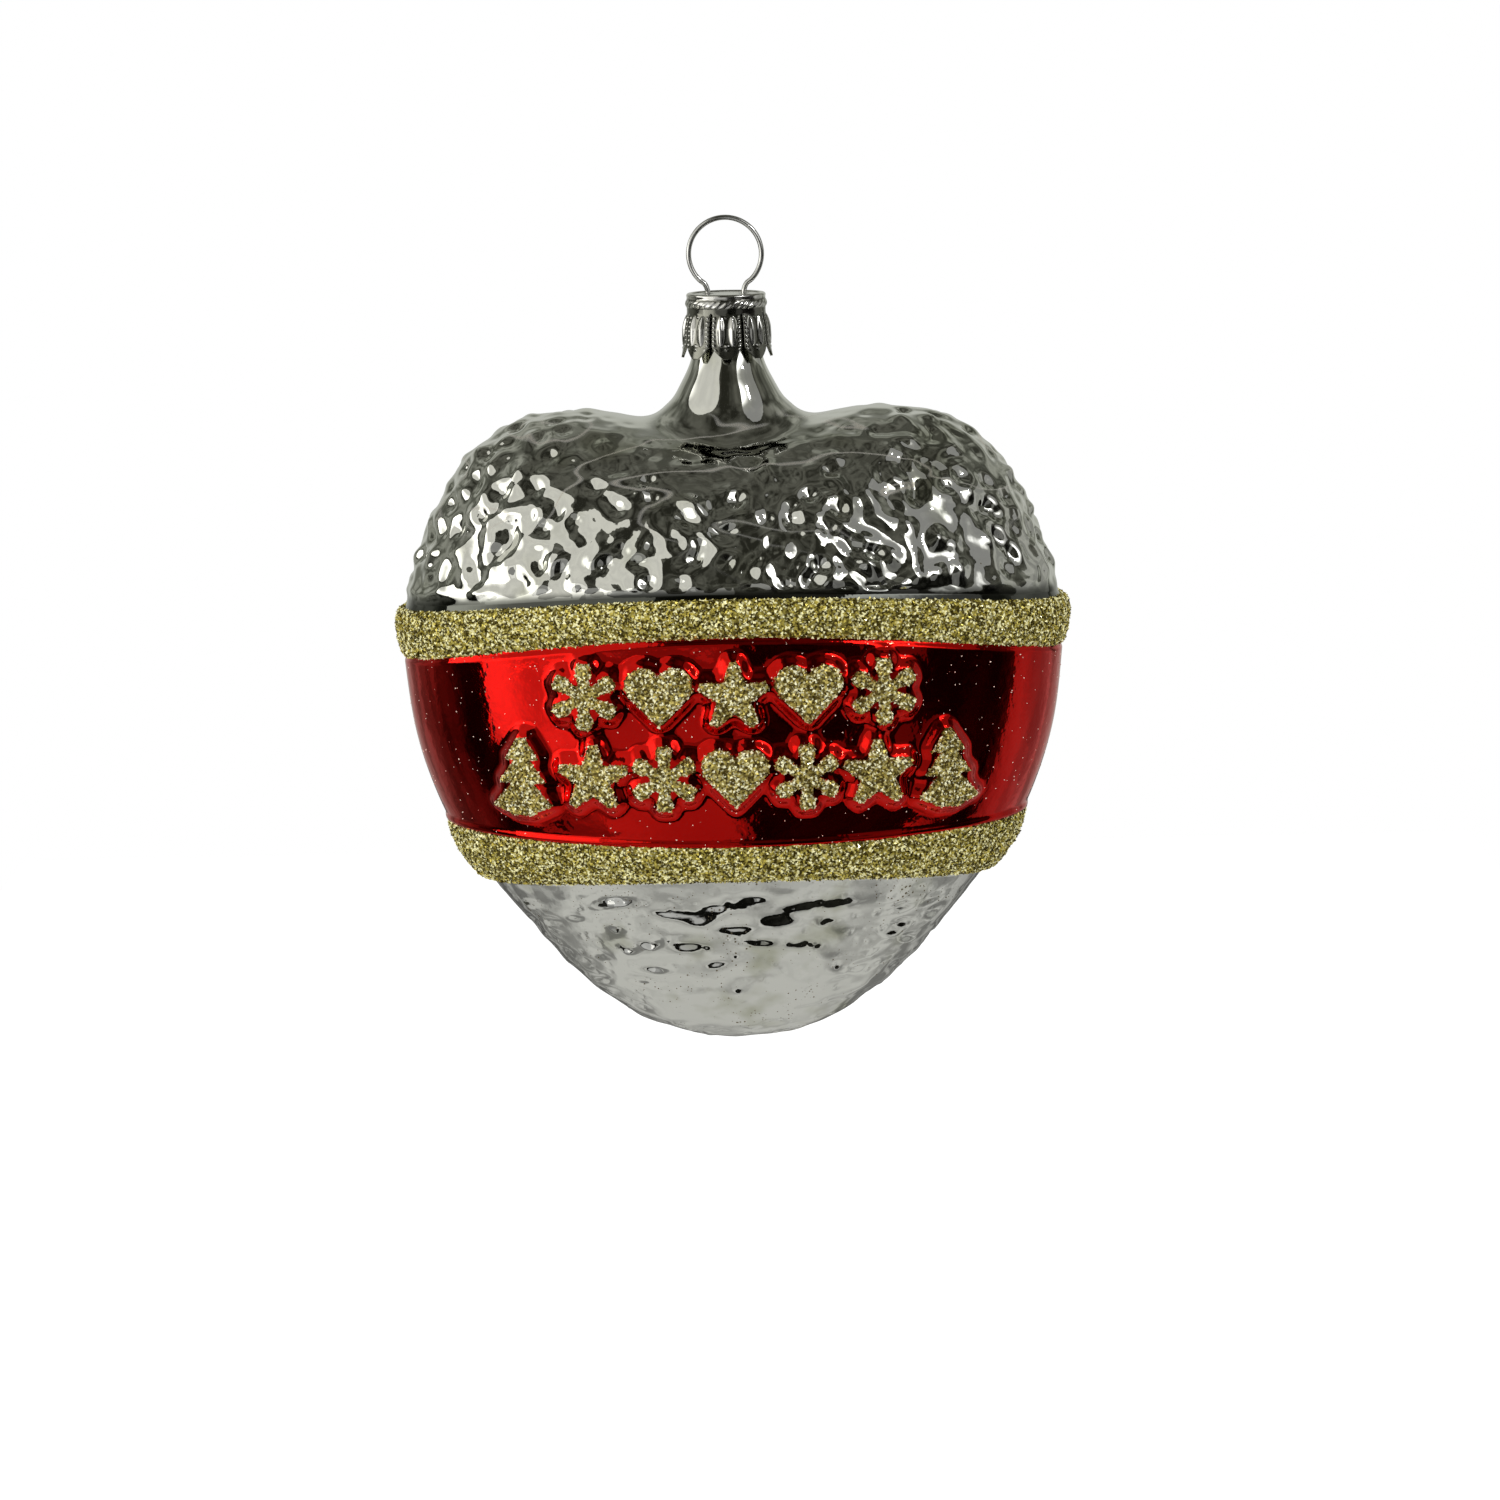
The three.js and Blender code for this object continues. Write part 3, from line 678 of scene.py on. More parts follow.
def makeFigure(node):
    # The frame's own solid, remeshed finely, with lumps raised along its normals
    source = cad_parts[node].data.copy()
    piece = addObject(node + "_glitter", source)
    weld = piece.modifiers.new("weld", "WELD")
    weld.merge_threshold = glitter["joinNear"]
    remesh = piece.modifiers.new("remesh", "REMESH")
    remesh.mode = "VOXEL"
    remesh.voxel_size = glitter["figureStep"]
    applyModifiers(piece)
    bpy.data.meshes.remove(source)
    mesh = piece.data
    points, _ = meshArrays(piece)
    normals = np.empty(len(points) * 3)
    mesh.vertex_normals.foreach_get("vector", normals)
    points += normals.reshape(-1, 3) * lumps(points)[:, None]
    mesh.vertices.foreach_set("co", points.ravel())
    mesh.shade_smooth()
    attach(piece, "glass")
    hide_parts(node)
    return piece


def outsideOnly(middles, facings):
    # True on faces that look away from the glass
    return (facings * (middles - [0, 0, tipZ + middleHeight]) > 0).sum(axis=1) >= 2


def towardsFront(middles, facings):
    # False on a figure's back, against the lacquer
    return facings[:, 1] < 0.3


def grainsOn(name, carriers, replaced, onlyWhere, count, seed, size=glitter["grain"], lowestTone=0):
    # Four-cornered grains scattered evenly by area and half sunk. A grain's own three axes are its leaning
    # upright, a random direction across it, and the one square to both.
    rng = np.random.default_rng(seed)
    arrays = [meshArrays(carrier) for carrier in carriers]
    starts = np.cumsum([0] + [len(points) for points, _ in arrays])
    points = np.vstack([points for points, _ in arrays])
    faces = np.vstack([corners + start for (_, corners), start in zip(arrays, starts)])
    a, b, c = (points[faces[:, i]] for i in range(3))
    across = np.cross(b - a, c - a)
    area = np.linalg.norm(across, axis=1)
    usable = area * onlyWhere((a + b + c) / 3, across / (area[:, None] + 1e-20))
    picked = rng.choice(len(faces), count, p=usable / usable.sum())
    u, v = rng.random((2, count, 1))
    u, v = np.where(u + v > 1, 1 - u, u), np.where(u + v > 1, 1 - v, v)
    middle = a[picked] + u * (b[picked] - a[picked]) + v * (c[picked] - a[picked])
    upright = across[picked] / area[picked][:, None] + glitter["lean"] * rng.normal(size=(count, 3))
    upright /= np.linalg.norm(upright, axis=1, keepdims=True)
    sideways = np.cross(upright, rng.normal(size=(count, 3)))
    sideways /= np.linalg.norm(sideways, axis=1, keepdims=True)
    axes = np.stack([sideways, np.cross(upright, sideways), upright * glitter["flatness"]], axis=1)
    corners = np.array([(1, 1, 1), (1, -1, -1), (-1, 1, -1), (-1, -1, 1)]) / math.sqrt(3)
    sizes = size * (glitter["smallest"] + glitter["sizeSpread"] * rng.random((count, 1, 1)))
    grains = middle[:, None] + sizes * np.einsum("ci,nij->ncj", corners, axes)
    sides = np.array([(0, 1, 2), (0, 3, 1), (0, 2, 3), (1, 3, 2)])
    allFaces = (np.arange(count)[:, None, None] * 4 + sides).reshape(-1, 3)
    piece = pieceFrom(name, grains.reshape(-1, 3), [allFaces], "glass", "gold_glitter", *replaced)
    piece.data.shade_flat()
    storeValues(piece, "tone", np.repeat(lowestTone + (1 - lowestTone) * rng.random(count), 4))
    return piece


upperGlitter = makeGlitterBand("upper_glitter", "upper_glitter_band", upperBand, bands["upperBare"])
lowerGlitter = makeGlitterBand("lower_glitter", "lower_glitter_band", lowerBand, bands["lowerBare"])
figurePieces = [makeFigure(node) for node in figureOutlines]
upperGrains = grainsOn("upper_grains", [upperGlitter], ["upper_glitter_band"], outsideOnly,
                       count=16000, seed=51)
lowerGrains = grainsOn("lower_grains", [lowerGlitter], ["lower_glitter_band"], outsideOnly,
                       count=16500, seed=52)
figureGrains = grainsOn("figure_grains", figurePieces, list(figureOutlines), towardsFront,
                        count=7500, seed=53)
strayGrains = grainsOn("stray_grains", [redBand], ["upper_glitter_band"], outsideOnly,
                       count=900, seed=54, size=glitter["strayGrain"], lowestTone=0.6)
print("Glitter made")

# Cap: pressed from thin sheet, with a rolled edge, a twisted cord under it and eight petals
cap = {
    "radius": 4.6 * mm,
    "height": 7.3 * mm,
    "sheet": 0.3 * mm,
    "rimRoll": 0.25 * mm,
    "cordTop": 0.6 * mm,
    "cordHeight": 0.95 * mm,
    "cordRise": 0.2 * mm,
    "cordTurns": 34,
    "twistDepth": 0.28,
    "twistLean": 2.6 * math.pi,  # from the cord's top to its foot
    "petals": 8,
    "petalRoot": 2.0 * mm,
    "petalPoint": 1.5 * mm,
    "petalTip": 0.9 * mm,
    "petalBulge": 0.3 * mm,
    "petalSpread": 0.75 * mm,
    "slit": 0.35 * mm,
    "slitEnd": 0.25 * mm,  # height over which a slit opens
    "bead": 0.52 * mm,  # from bead to bead along a petal's edges
    "pressing": 0.14 * mm,
    "fluteHeight": 2.3,  # in pressings
    "dotHeight": 1.2,
    "fluteMiddle": 4.1 * mm,  # below the cap's top
    "fluteReach": 1.75 * mm,
    "fluteAside": 0.4,  # from a petal's middle line, as a share of its half width, and so are these
    "fluteWidth": 0.15,
    "beadAside": 0.85,
    "beadWidth": 0.08,
    "dotWidth": 0.14,
    "holeSpacing": 4.2 * mm,
    "holeRadius": 0.62 * mm,
    "drillTurn": math.pi / 50,  # keeps the drill's corners off the cap's own edges
    "columns": 40,  # to a petal
    "skirtRows": 92,
    "middleRadius": 0.25 * mm,  # of the top's innermost ring, which a flat face fills
    "joinNear": 0.004 * mm,  # points of neighbouring petals that are one point
}
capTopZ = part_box("metal_cap")[1].z - cap["rimRoll"] / 2


def capProfile():
    # Radius and height along the sheet: the flat top, the rolled edge as part of an ellipse, and the skirt,
    # which bulges at the petals and spreads towards their points
    radius, edge = cap["radius"], cap["rimRoll"]
    top = [(r, 0) for r in np.linspace(cap["middleRadius"], radius - 2.4 * edge, 9)]
    rolled = [(radius - edge + 1.15 * edge * math.cos(turn), -edge * 0.6 + 1.1 * edge * math.sin(turn))
              for turn in np.linspace(math.pi, -0.15 * math.pi, 15)]
    down = np.linspace(cap["cordTop"], cap["height"], cap["skirtRows"])
    share = fade(cap["petalRoot"], cap["height"] * 0.55, down)
    spread = np.clip((down - cap["height"] / 2) / (cap["height"] / 2), 0, 1)
    skirt = radius + cap["petalBulge"] * share + (cap["petalSpread"] - cap["petalBulge"]) * spread ** 1.6
    return np.vstack([top, rolled, np.stack([skirt, -down], -1)])


def petalHalfAngle(radius, depth):
    # Half the angle that a petal takes: an eighth of the ring, less the slit, then drawn in to the point
    whole = math.pi / cap["petals"]
    slitHalf = cap["slit"] / 2 * fade(cap["petalRoot"], cap["petalRoot"] + cap["slitEnd"], depth)
    opened = whole - slitHalf / radius
    point = np.clip((depth - cap["height"] + cap["petalPoint"]) / cap["petalPoint"], 0, 1)
    return opened + (cap["petalTip"] / 2 / radius - opened) * point ** 1.3


def pressed(across, depth, angle):
    # Twisted cord under the rim. On each petal beads down both sides, two lens-shaped flutes, and dots above
    # and below the flutes. Across is -1 and 1 at the petal's edges.
    cordShare = np.clip((depth - cap["cordTop"]) / cap["cordHeight"], 0, 1)
    lean = cap["twistLean"] * cordShare
    twist = 1 - cap["twistDepth"] + cap["twistDepth"] * np.cos(cap["cordTurns"] * angle + lean)
    cord = cap["cordRise"] * np.sin(np.pi * cordShare) ** 0.8 * twist
    body = fade(cap["petalRoot"] + 0.1 * mm, cap["petalRoot"] + 0.5 * mm, depth)
    sides = 1 - fade(cap["height"] - cap["petalPoint"], cap["height"] - 0.5 * cap["petalPoint"], depth)
    row = 0.5 + 0.5 * np.cos(2 * np.pi * depth / cap["bead"])
    beads = np.exp(-((np.abs(across) - cap["beadAside"]) / cap["beadWidth"]) ** 2) * row
    along = (depth - cap["fluteMiddle"]) / cap["fluteReach"]
    lens = np.sqrt(np.clip(1 - along ** 2, 0, 1))
    flutes = np.exp(-((np.abs(across) - cap["fluteAside"]) / (0.04 + cap["fluteWidth"] * lens)) ** 2) * lens
    dots = np.exp(-(across / cap["dotWidth"]) ** 2) * row * fade(0.8, 1.0, np.abs(along))
    raised = beads + cap["fluteHeight"] * flutes + cap["dotHeight"] * dots
    return cord + cap["pressing"] * body * sides * raised


def raisedShare(points):
    # How far the pressing lifts each point off the plain skirt: 0 on the ground, 1 on a flute, 0.5 on the top
    profile = capProfile()
    skirt = profile[-profile[:, 1] >= cap["cordTop"]]
    depth = capTopZ - points[:, 2]
    plain = np.interp(depth, -skirt[:, 1], skirt[:, 0])
    lifted = (np.hypot(points[:, 0], points[:, 1]) - plain) / (2 * cap["pressing"])
    return np.where(depth < cap["cordTop"], 0.5, np.clip(lifted, 0, 1))


def petalSheets():
    # The profile swept over each petal's own angle, one grid of points for each petal, and all their quads
    profile = capProfile()
    across = np.linspace(-1, 1, cap["columns"] + 1)
    radius, depth = profile[:, :1], -profile[:, 1:]
    half = petalHalfAngle(np.maximum(radius, 1e-4), depth)
    sheets = []
    for i in range(cap["petals"]):
        angle = (i + 0.5) * 2 * math.pi / cap["petals"] + math.pi / cap["petals"] + half * across
        outer = radius + pressed(across[None, :], depth, angle)
        height = capTopZ - np.broadcast_to(depth, angle.shape)
        sheets.append(np.stack([outer * np.cos(angle), outer * np.sin(angle), height], -1))
    rows, columns = len(profile), len(across)
    row = np.arange(rows - 1)[:, None] * columns
    column = np.arange(columns - 1)[None, :]
    below = row + columns
    quads = np.stack([row + column, below + column, below + column + 1, row + column + 1], -1)
    faces = np.arange(cap["petals"])[:, None, None] * rows * columns + quads.reshape(-1, 4)
    return np.concatenate(sheets).reshape(-1, 3), faces.reshape(-1, 4)


def makeCap():
    # The petals' sheets joined, closed in the middle of the top, given their thickness and drilled
    points, faces = petalSheets()
    mesh = bpy.data.meshes.new("pressed_cap")
    mesh.from_pydata(points.tolist(), [], faces.tolist())
    edit = bmesh.new()
    edit.from_mesh(mesh)
    bmesh.ops.remove_doubles(edit, verts=edit.verts, dist=cap["joinNear"])
    near = 1.5 * cap["middleRadius"]
    inner = [edge for edge in edit.edges
             if edge.is_boundary and max(end.co.xy.length for end in edge.verts) < near]
    bmesh.ops.holes_fill(edit, edges=inner, sides=0)
    bmesh.ops.recalc_face_normals(edit, faces=edit.faces)
    if sum(face.normal.z * face.calc_area() for face in edit.faces) < 0:
        bmesh.ops.reverse_faces(edit, faces=edit.faces)
    edit.to_mesh(mesh)
    edit.free()
    mesh.shade_smooth()
    piece = addObject("pressed_cap", mesh)
    thick = piece.modifiers.new("sheet", "SOLIDIFY")
    thick.thickness = cap["sheet"]
    thick.offset = -1
    cutHoles(piece)
    storeValues(piece, "raised", raisedShare(meshArrays(piece)[0]))
    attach(piece, "cap")
    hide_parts("metal_cap")
    return piece


def cutHoles(piece):
    # Two round holes for the hanger's legs
    drills = []
    for side in (-1, 1):
        bpy.ops.mesh.primitive_cylinder_add(
            vertices=32, radius=cap["holeRadius"], depth=2 * mm,
            location=(side * cap["holeSpacing"] / 2, 0, capTopZ), rotation=(0, 0, cap["drillTurn"]))
        drill = bpy.context.object
        cut = piece.modifiers.new("hole", "BOOLEAN")
        cut.operation = "DIFFERENCE"
        cut.solver = "EXACT"
        cut.object = drill
        drills.append(drill)
    bpy.context.view_layer.update()
    applyModifiers(piece)
    for drill in drills:
        bpy.data.objects.remove(drill)


pressedCap = makeCap()
print("Cap made")

# Hanger: one spring wire, up the left leg, round the ring and down the right leg
wire = {
    "radius": 0.3 * mm,
    "ringRadius": 4.25 * mm,
    "bendHeight": 1.1 * mm,
    "legSpread": 2.5 * mm,
    "legLength": 12 * mm,
    "legShares": (1, 0.72, 0.44, 0.2),  # points down each leg, as shares of its length
    "sides": 14,
    "steps": 260,
    "ringPoints": 25,
    "endRings": 5,
}


def makeHanger():
    # A circle carried along the wire's middle line, with rounded ends
    radius, half = wire["radius"], cap["holeSpacing"] / 2
    rim = tipZ + rimHeight - capTopZ
    opening = math.asin((half + radius) / wire["ringRadius"])
    centre = wire["bendHeight"] + wire["ringRadius"] * math.cos(opening)
    leg = [(wire["legSpread"], rim - wire["legLength"] * share) for share in wire["legShares"]]
    leg += [(half + (wire["legSpread"] - half) / 4, rim - 0.5 * mm), (half, radius / 2)]
    turns = -math.pi / 2 + opening + (2 * math.pi - 2 * opening) * np.linspace(0, 1, wire["ringPoints"])
    ring = polar(wire["ringRadius"], turns) + [0, centre]
    route = np.vstack([leg, ring, np.array(leg)[::-1] * [-1, 1]])
    fine = smoothRun(route, np.linspace(0, len(route) - 1, 3000))
    length = lengthAlong(fine)
    rounding = np.linspace(0.15, 1, wire["endRings"]) * math.pi / 2
    inset, thin = radius * (1 - np.cos(rounding)), np.sin(rounding)
    straight = np.linspace(radius * 1.5, length[-1] - radius * 1.5, wire["steps"])
    at = np.concatenate([inset, straight, length[-1] - inset[::-1]])
    size = radius * np.concatenate([thin, np.ones(wire["steps"]), thin[::-1]])
    line = np.stack([np.interp(at, length, fine[:, i]) for i in (0, 1)], -1)
    ahead = np.gradient(line, axis=0)
    ahead /= np.linalg.norm(ahead, axis=1, keepdims=True)
    turn = np.arange(wire["sides"]) * 2 * math.pi / wire["sides"]
    aside = size[:, None] * np.cos(turn)
    points = np.stack([line[:, :1] - ahead[:, 1:] * aside, size[:, None] * np.sin(turn),
                       capTopZ + line[:, 1:] + ahead[:, :1] * aside], -1)
    ends = np.array([[fine[i, 0], 0, capTopZ + fine[i, 1]] for i in (0, -1)])
    faces = cappedFaces(*points.shape[:2])
    return pieceFrom("hanger_wire", np.vstack([points.reshape(-1, 3), ends]), faces,
                     "hanger", "hanger_wire", "wire_hanger")


hanger = makeHanger()
print("Hanger made")


# Materials
def setInput(tree, socket, value):
    # Linked where the value is a node's output
    if isinstance(value, bpy.types.NodeSocket):
        tree.links.new(value, socket)
    else:
        socket.default_value = value


def addNode(tree, kind, inputs=None, **settings):
    made = tree.nodes.new("ShaderNode" + kind)
    for name, value in settings.items():
        setattr(made, name, value)
    for name, value in (inputs or {}).items():
        setInput(tree, made.inputs[name], value)
    return made


def compute(tree, operation, first, second):
    return addNode(tree, "Math", {0: first, 1: second}, operation=operation).outputs[0]


def computeVector(tree, operation, first, second):
    inputs = {0: first, "Scale" if operation == "SCALE" else 1: second}
    made = addNode(tree, "VectorMath", inputs, operation=operation)
    return made.outputs["Value" if operation in ("DISTANCE", "DOT_PRODUCT") else "Vector"]


def between(tree, value, start, end, low, high, easing="LINEAR"):
    # Low up to the start, high from the end on
    return addNode(tree, "MapRange", {
        "Value": value, "From Min": start, "From Max": end, "To Min": low, "To Max": high},
        interpolation_type=easing).outputs[0]


def ramp(tree, value, *stops):
    # Positions with a colour or a grey each
    made = addNode(tree, "ValToRGB", {"Fac": value})
    elements = made.color_ramp.elements
    while len(elements) < len(stops):
        elements.new(0.5)
    for element, (position, colour) in zip(elements, stops):
        element.position = position
        element.color = (*colour, 1) if isinstance(colour, tuple) else (colour, colour, colour, 1)
    return made.outputs["Color"]


def mixColours(tree, share, first, second):
    # Sockets 0, 6 and 7 of a colour Mix node are its share and its two colours
    made = addNode(tree, "Mix", {0: share}, data_type="RGBA")
    for index, value in ((6, first), (7, second)):
        setInput(tree, made.inputs[index], (*value, 1) if isinstance(value, tuple) else value)
    return made.outputs[2]


def objectPlace(tree):
    return addNode(tree, "TexCoord").outputs["Object"]


def noise(tree, place, scale, detail, distortion=0.0):
    return addNode(tree, "TexNoise", {
        "Vector": place, "Scale": scale, "Detail": detail, "Distortion": distortion}).outputs["Fac"]


def storedValue(tree, name):
    return addNode(tree, "Attribute", attribute_name=name).outputs["Fac"]


def bumpNormal(tree, height, strength, distance):
    return addNode(tree, "Bump", {
        "Height": height, "Strength": strength, "Distance": distance}).outputs["Normal"]


def newGroup(name, inputs, outputs):
    tree = bpy.data.node_groups.new(name, "ShaderNodeTree")
    for label, value in inputs.items():
        socket = tree.interface.new_socket(label, in_out="INPUT", socket_type="NodeSocketFloat")
        socket.default_value = value
    for label in outputs:
        tree.interface.new_socket(label, in_out="OUTPUT", socket_type="NodeSocketFloat")
    return tree, tree.nodes.new("NodeGroupInput").outputs, tree.nodes.new("NodeGroupOutput").inputs


def specksGroup():
    # Small round specks that gather in clusters
    tree, given, out = newGroup(
        "specks", {"Dot Scale": 2500.0, "Cluster Scale": 120.0, "Amount": 0.5}, ["Mask"])
    place = objectPlace(tree)
    dots = addNode(tree, "TexVoronoi", {"Vector": place, "Scale": given["Dot Scale"]}).outputs
    cluster = noise(tree, place, given["Cluster Scale"], detail=3.0)
    crowd = between(tree, cluster, compute(tree, "SUBTRACT", 1.0, given["Amount"]), 0.95, 0.0, 0.75)
    lot = addNode(tree, "SeparateColor", {"Color": dots["Color"]}).outputs["Red"]
    size = compute(tree, "MULTIPLY", lot, crowd)
    setInput(tree, out["Mask"], compute(tree, "LESS_THAN", dots["Distance"], size))
    return tree


def facetsGroup():
    # Tiny facets: each has a tone of its own and leans its own way
    tree, given, out = newGroup("glitter facets", {"Scale": 2600.0}, ["Tone", "Height"])
    place = objectPlace(tree)
    cells = addNode(tree, "TexVoronoi", {"Vector": place, "Scale": given["Scale"]}).outputs
    scaled = computeVector(tree, "SCALE", place, given["Scale"])
    away = computeVector(tree, "SUBTRACT", scaled, cells["Position"])
    lean = computeVector(tree, "SUBTRACT", cells["Color"], (0.5, 0.5, 0.5))
    setInput(tree, out["Tone"], addNode(tree, "SeparateColor", {"Color": cells["Color"]}).outputs["Green"])
    setInput(tree, out["Height"], computeVector(tree, "DOT_PRODUCT", away, lean))
    return tree


def ripplesGroup():
    # Fine unevenness of a blown, dipped or pressed surface
    tree, given, out = newGroup("ripples", {"Scale": 400.0}, ["Height"])
    setInput(tree, out["Height"], noise(tree, objectPlace(tree), given["Scale"], detail=2.0))
    return tree


specks = specksGroup()
facets = facetsGroup()
ripples = ripplesGroup()


def useGroup(tree, group, **values):
    # Input names are given without their spaces
    made = addNode(tree, "Group", node_tree=group)
    for socket in made.inputs:
        socket.default_value = values[socket.name.replace(" ", "")]
    return made.outputs


def newMaterial(name, plain):
    # A Principled shader, its plain values set on its own sockets
    material = bpy.data.materials.new(name)
    material.use_nodes = True
    tree = material.node_tree
    tree.nodes.clear()
    shader = addNode(tree, "BsdfPrincipled", plain)
    addNode(tree, "OutputMaterial", {"Surface": shader.outputs["BSDF"]})
    return material, tree, shader.inputs


def feed(tree, shader, **outputs):
    # Links what varies over the surface: colour, roughness, metallic and normal
    names = {"colour": "Base Color", "roughness": "Roughness", "metallic": "Metallic", "normal": "Normal"}
    for name, output in outputs.items():
        tree.links.new(output, shader[names[name]])


# Heights are shares of the first 100 mm over the tip
silvering = {
    "dotScale": 2300.0,
    "clusterScale": 240.0,
    "speckColour": (0.28, 0.24, 0.17),
    # The thin tan lines are painted reflection edges
    "lineScale": 95.0,
    "lineStretch": (0.55, 0.55, 1.5),  # lines run more level than upright
    "lineWidth": 0.012,
    "lineColour": (0.24, 0.165, 0.08),
    "lineHeights": ((0.60, 0.05), (0.67, 1.0), (0.735, 1.0), (0.755, 0.0), (1.0, 0.0)),
    "tarnishScale": 150.0,
    "tarnishEdges": (0.3, 0.46),
    # Painted shade colour for the bare ledge over the upper band
    "ledgeColour": (0.12, 0.125, 0.11),
    "rippleScale": 650.0,
    "rippleHeights": ((0.0, 1.0), (0.7, 1.0), (0.76, 0.2), (1.0, 0.2)),
}


def silverMaterial(name, speckAmount, lineStrength, dull, bright):
    # Mirror silver seen through clear glass: small tarnish specks and a few thin tan lines that are painted
    # reflection edges
    material, tree, shader = newMaterial(name, {"Coat Weight": 0.4, "Coat Roughness": 0.02})
    dots = useGroup(tree, specks, DotScale=silvering["dotScale"], ClusterScale=silvering["clusterScale"],
                    Amount=speckAmount)["Mask"]
    place = objectPlace(tree)
    # Thin tan lines along the contours of a slow noise, near the shoulders: painted reflection edges
    stretched = computeVector(tree, "MULTIPLY", place, silvering["lineStretch"])
    reflectionContours = noise(tree, stretched, silvering["lineScale"], detail=1.5, distortion=0.6)
    width = silvering["lineWidth"]
    line = ramp(tree, reflectionContours, (0.0, 0), (0.5 - width, 0), (0.5, lineStrength), (0.5 + width, 0), (1.0, 0))
    height = addNode(tree, "SeparateXYZ", {0: place}).outputs["Z"]
    upwards = between(tree, height, tipZ, tipZ + 100 * mm, 0.0, 1.0)
    line = compute(tree, "MULTIPLY", line, ramp(tree, upwards, *silvering["lineHeights"]))
    cloudy = noise(tree, place, silvering["tarnishScale"], detail=3.0)
    clear = between(tree, cloudy, *silvering["tarnishEdges"], 0.0, 1.0)
    lined = mixColours(tree, line, mixColours(tree, clear, dull, bright), silvering["lineColour"])
    # Painted shade: the bare ledge over the upper band is darkened in the colour
    shaded = mixColours(tree, storedValue(tree, "ledge"), lined, silvering["ledgeColour"])
    wavy = useGroup(tree, ripples, Scale=silvering["rippleScale"])["Height"]
    calmed = compute(tree, "MULTIPLY", wavy, ramp(tree, upwards, *silvering["rippleHeights"]))
    feed(tree, shader,
         colour=mixColours(tree, dots, shaded, silvering["speckColour"]),
         roughness=ramp(tree, dots, (0.0, 0.035), (1.0, 0.3)),
         metallic=ramp(tree, line, (0.0, 1), (1.0, 0.35)),
         normal=bumpNormal(tree, calmed, strength=0.5, distance=0.06 * mm))
    return material


def redMaterial():
    # Clear red lacquer over silver, with a little dust of glitter caught in it
    material, tree, shader = newMaterial("red lacquer", {
        "Metallic": 1, "Coat Weight": 0.12, "Coat Roughness": 0.03})
    depth = noise(tree, objectPlace(tree), scale=75.0, detail=4.0)
    red = mixColours(tree, depth, (0.66, 0.003, 0.002), (0.92, 0.012, 0.006))
    dust = useGroup(tree, specks, DotScale=1500.0, ClusterScale=110.0, Amount=0.40)["Mask"]
    wavy = useGroup(tree, ripples, Scale=850.0)["Height"]
    feed(tree, shader,
         colour=mixColours(tree, compute(tree, "MULTIPLY", dust, 0.75), red, (0.85, 0.42, 0.30)),
         roughness=ramp(tree, dust, (0.0, 0.06), (1.0, 0.42)),
         normal=bumpNormal(tree, wavy, strength=0.6, distance=0.06 * mm))
    return material


def glitterMaterial(name, dark, middle, light):
    # The coat between the grains: fine facets in the darker tones
    material, tree, shader = newMaterial(name, {"Metallic": 0.6})
    tiny = useGroup(tree, facets, Scale=4200.0)
    feed(tree, shader,
         colour=ramp(tree, tiny["Tone"], (0.25, dark), (0.75, middle), (0.95, light)),
         roughness=ramp(tree, tiny["Tone"], (0.0, 0.45), (1.0, 0.2)),
         normal=bumpNormal(tree, tiny["Height"], strength=1.0, distance=0.2 * mm))
    return material


def grainMaterial(name, dark, middle, light):
    # Most grains are mirrors of gold foil in dark and middle tones. The lightest are pale and barely
    # metallic, so they stay bright under any lamp: painted glints.
    material, tree, shader = newMaterial(name, {})
    tone = storedValue(tree, "tone")
    # The light tone, pale and barely metallic, is a painted glint
    feed(tree, shader,
         colour=ramp(tree, tone, (0.0, dark), (0.32, dark), (0.5, middle), (0.64, middle), (0.72, light)),
         roughness=ramp(tree, tone, (0.0, 0.25), (1.0, 0.12)),
         metallic=ramp(tree, tone, (0.64, 0.6), (0.72, 0.1)))
    return material


def capMaterial():
    # Bright on what is pressed out; painted shade darkens the ground between and the inside
    material, tree, shader = newMaterial("pressed cap metal", {"Metallic": 1})
    dull = noise(tree, objectPlace(tree), scale=900.0, detail=4.0)
    metal = mixColours(tree, dull, (0.84, 0.83, 0.78), (0.97, 0.97, 0.95))
    # Painted shade: 0 on the ground between the pressings and on the inside, 1 on what is pressed out
    shadeFreeShare = ramp(tree, storedValue(tree, "raised"), (0.04, 0), (0.4, 1))
    wavy = useGroup(tree, ripples, Scale=1600.0)["Height"]
    # The dark grey (0.24, 0.24, 0.21) is painted shade
    feed(tree, shader,
         colour=mixColours(tree, shadeFreeShare, (0.24, 0.24, 0.21), metal),
         roughness=ramp(tree, dull, (0.3, 0.07), (0.7, 0.18)),
         normal=bumpNormal(tree, wavy, strength=0.3, distance=0.04 * mm))
    return material


def wireMaterial():
    material, tree, shader = newMaterial("spring wire", {"Metallic": 1})
    drawn = noise(tree, objectPlace(tree), scale=1500.0, detail=3.0)
    feed(tree, shader,
         colour=mixColours(tree, drawn, (0.80, 0.80, 0.77), (0.97, 0.97, 0.95)),
         roughness=ramp(tree, drawn, (0.3, 0.1), (0.7, 0.24)))
    return material
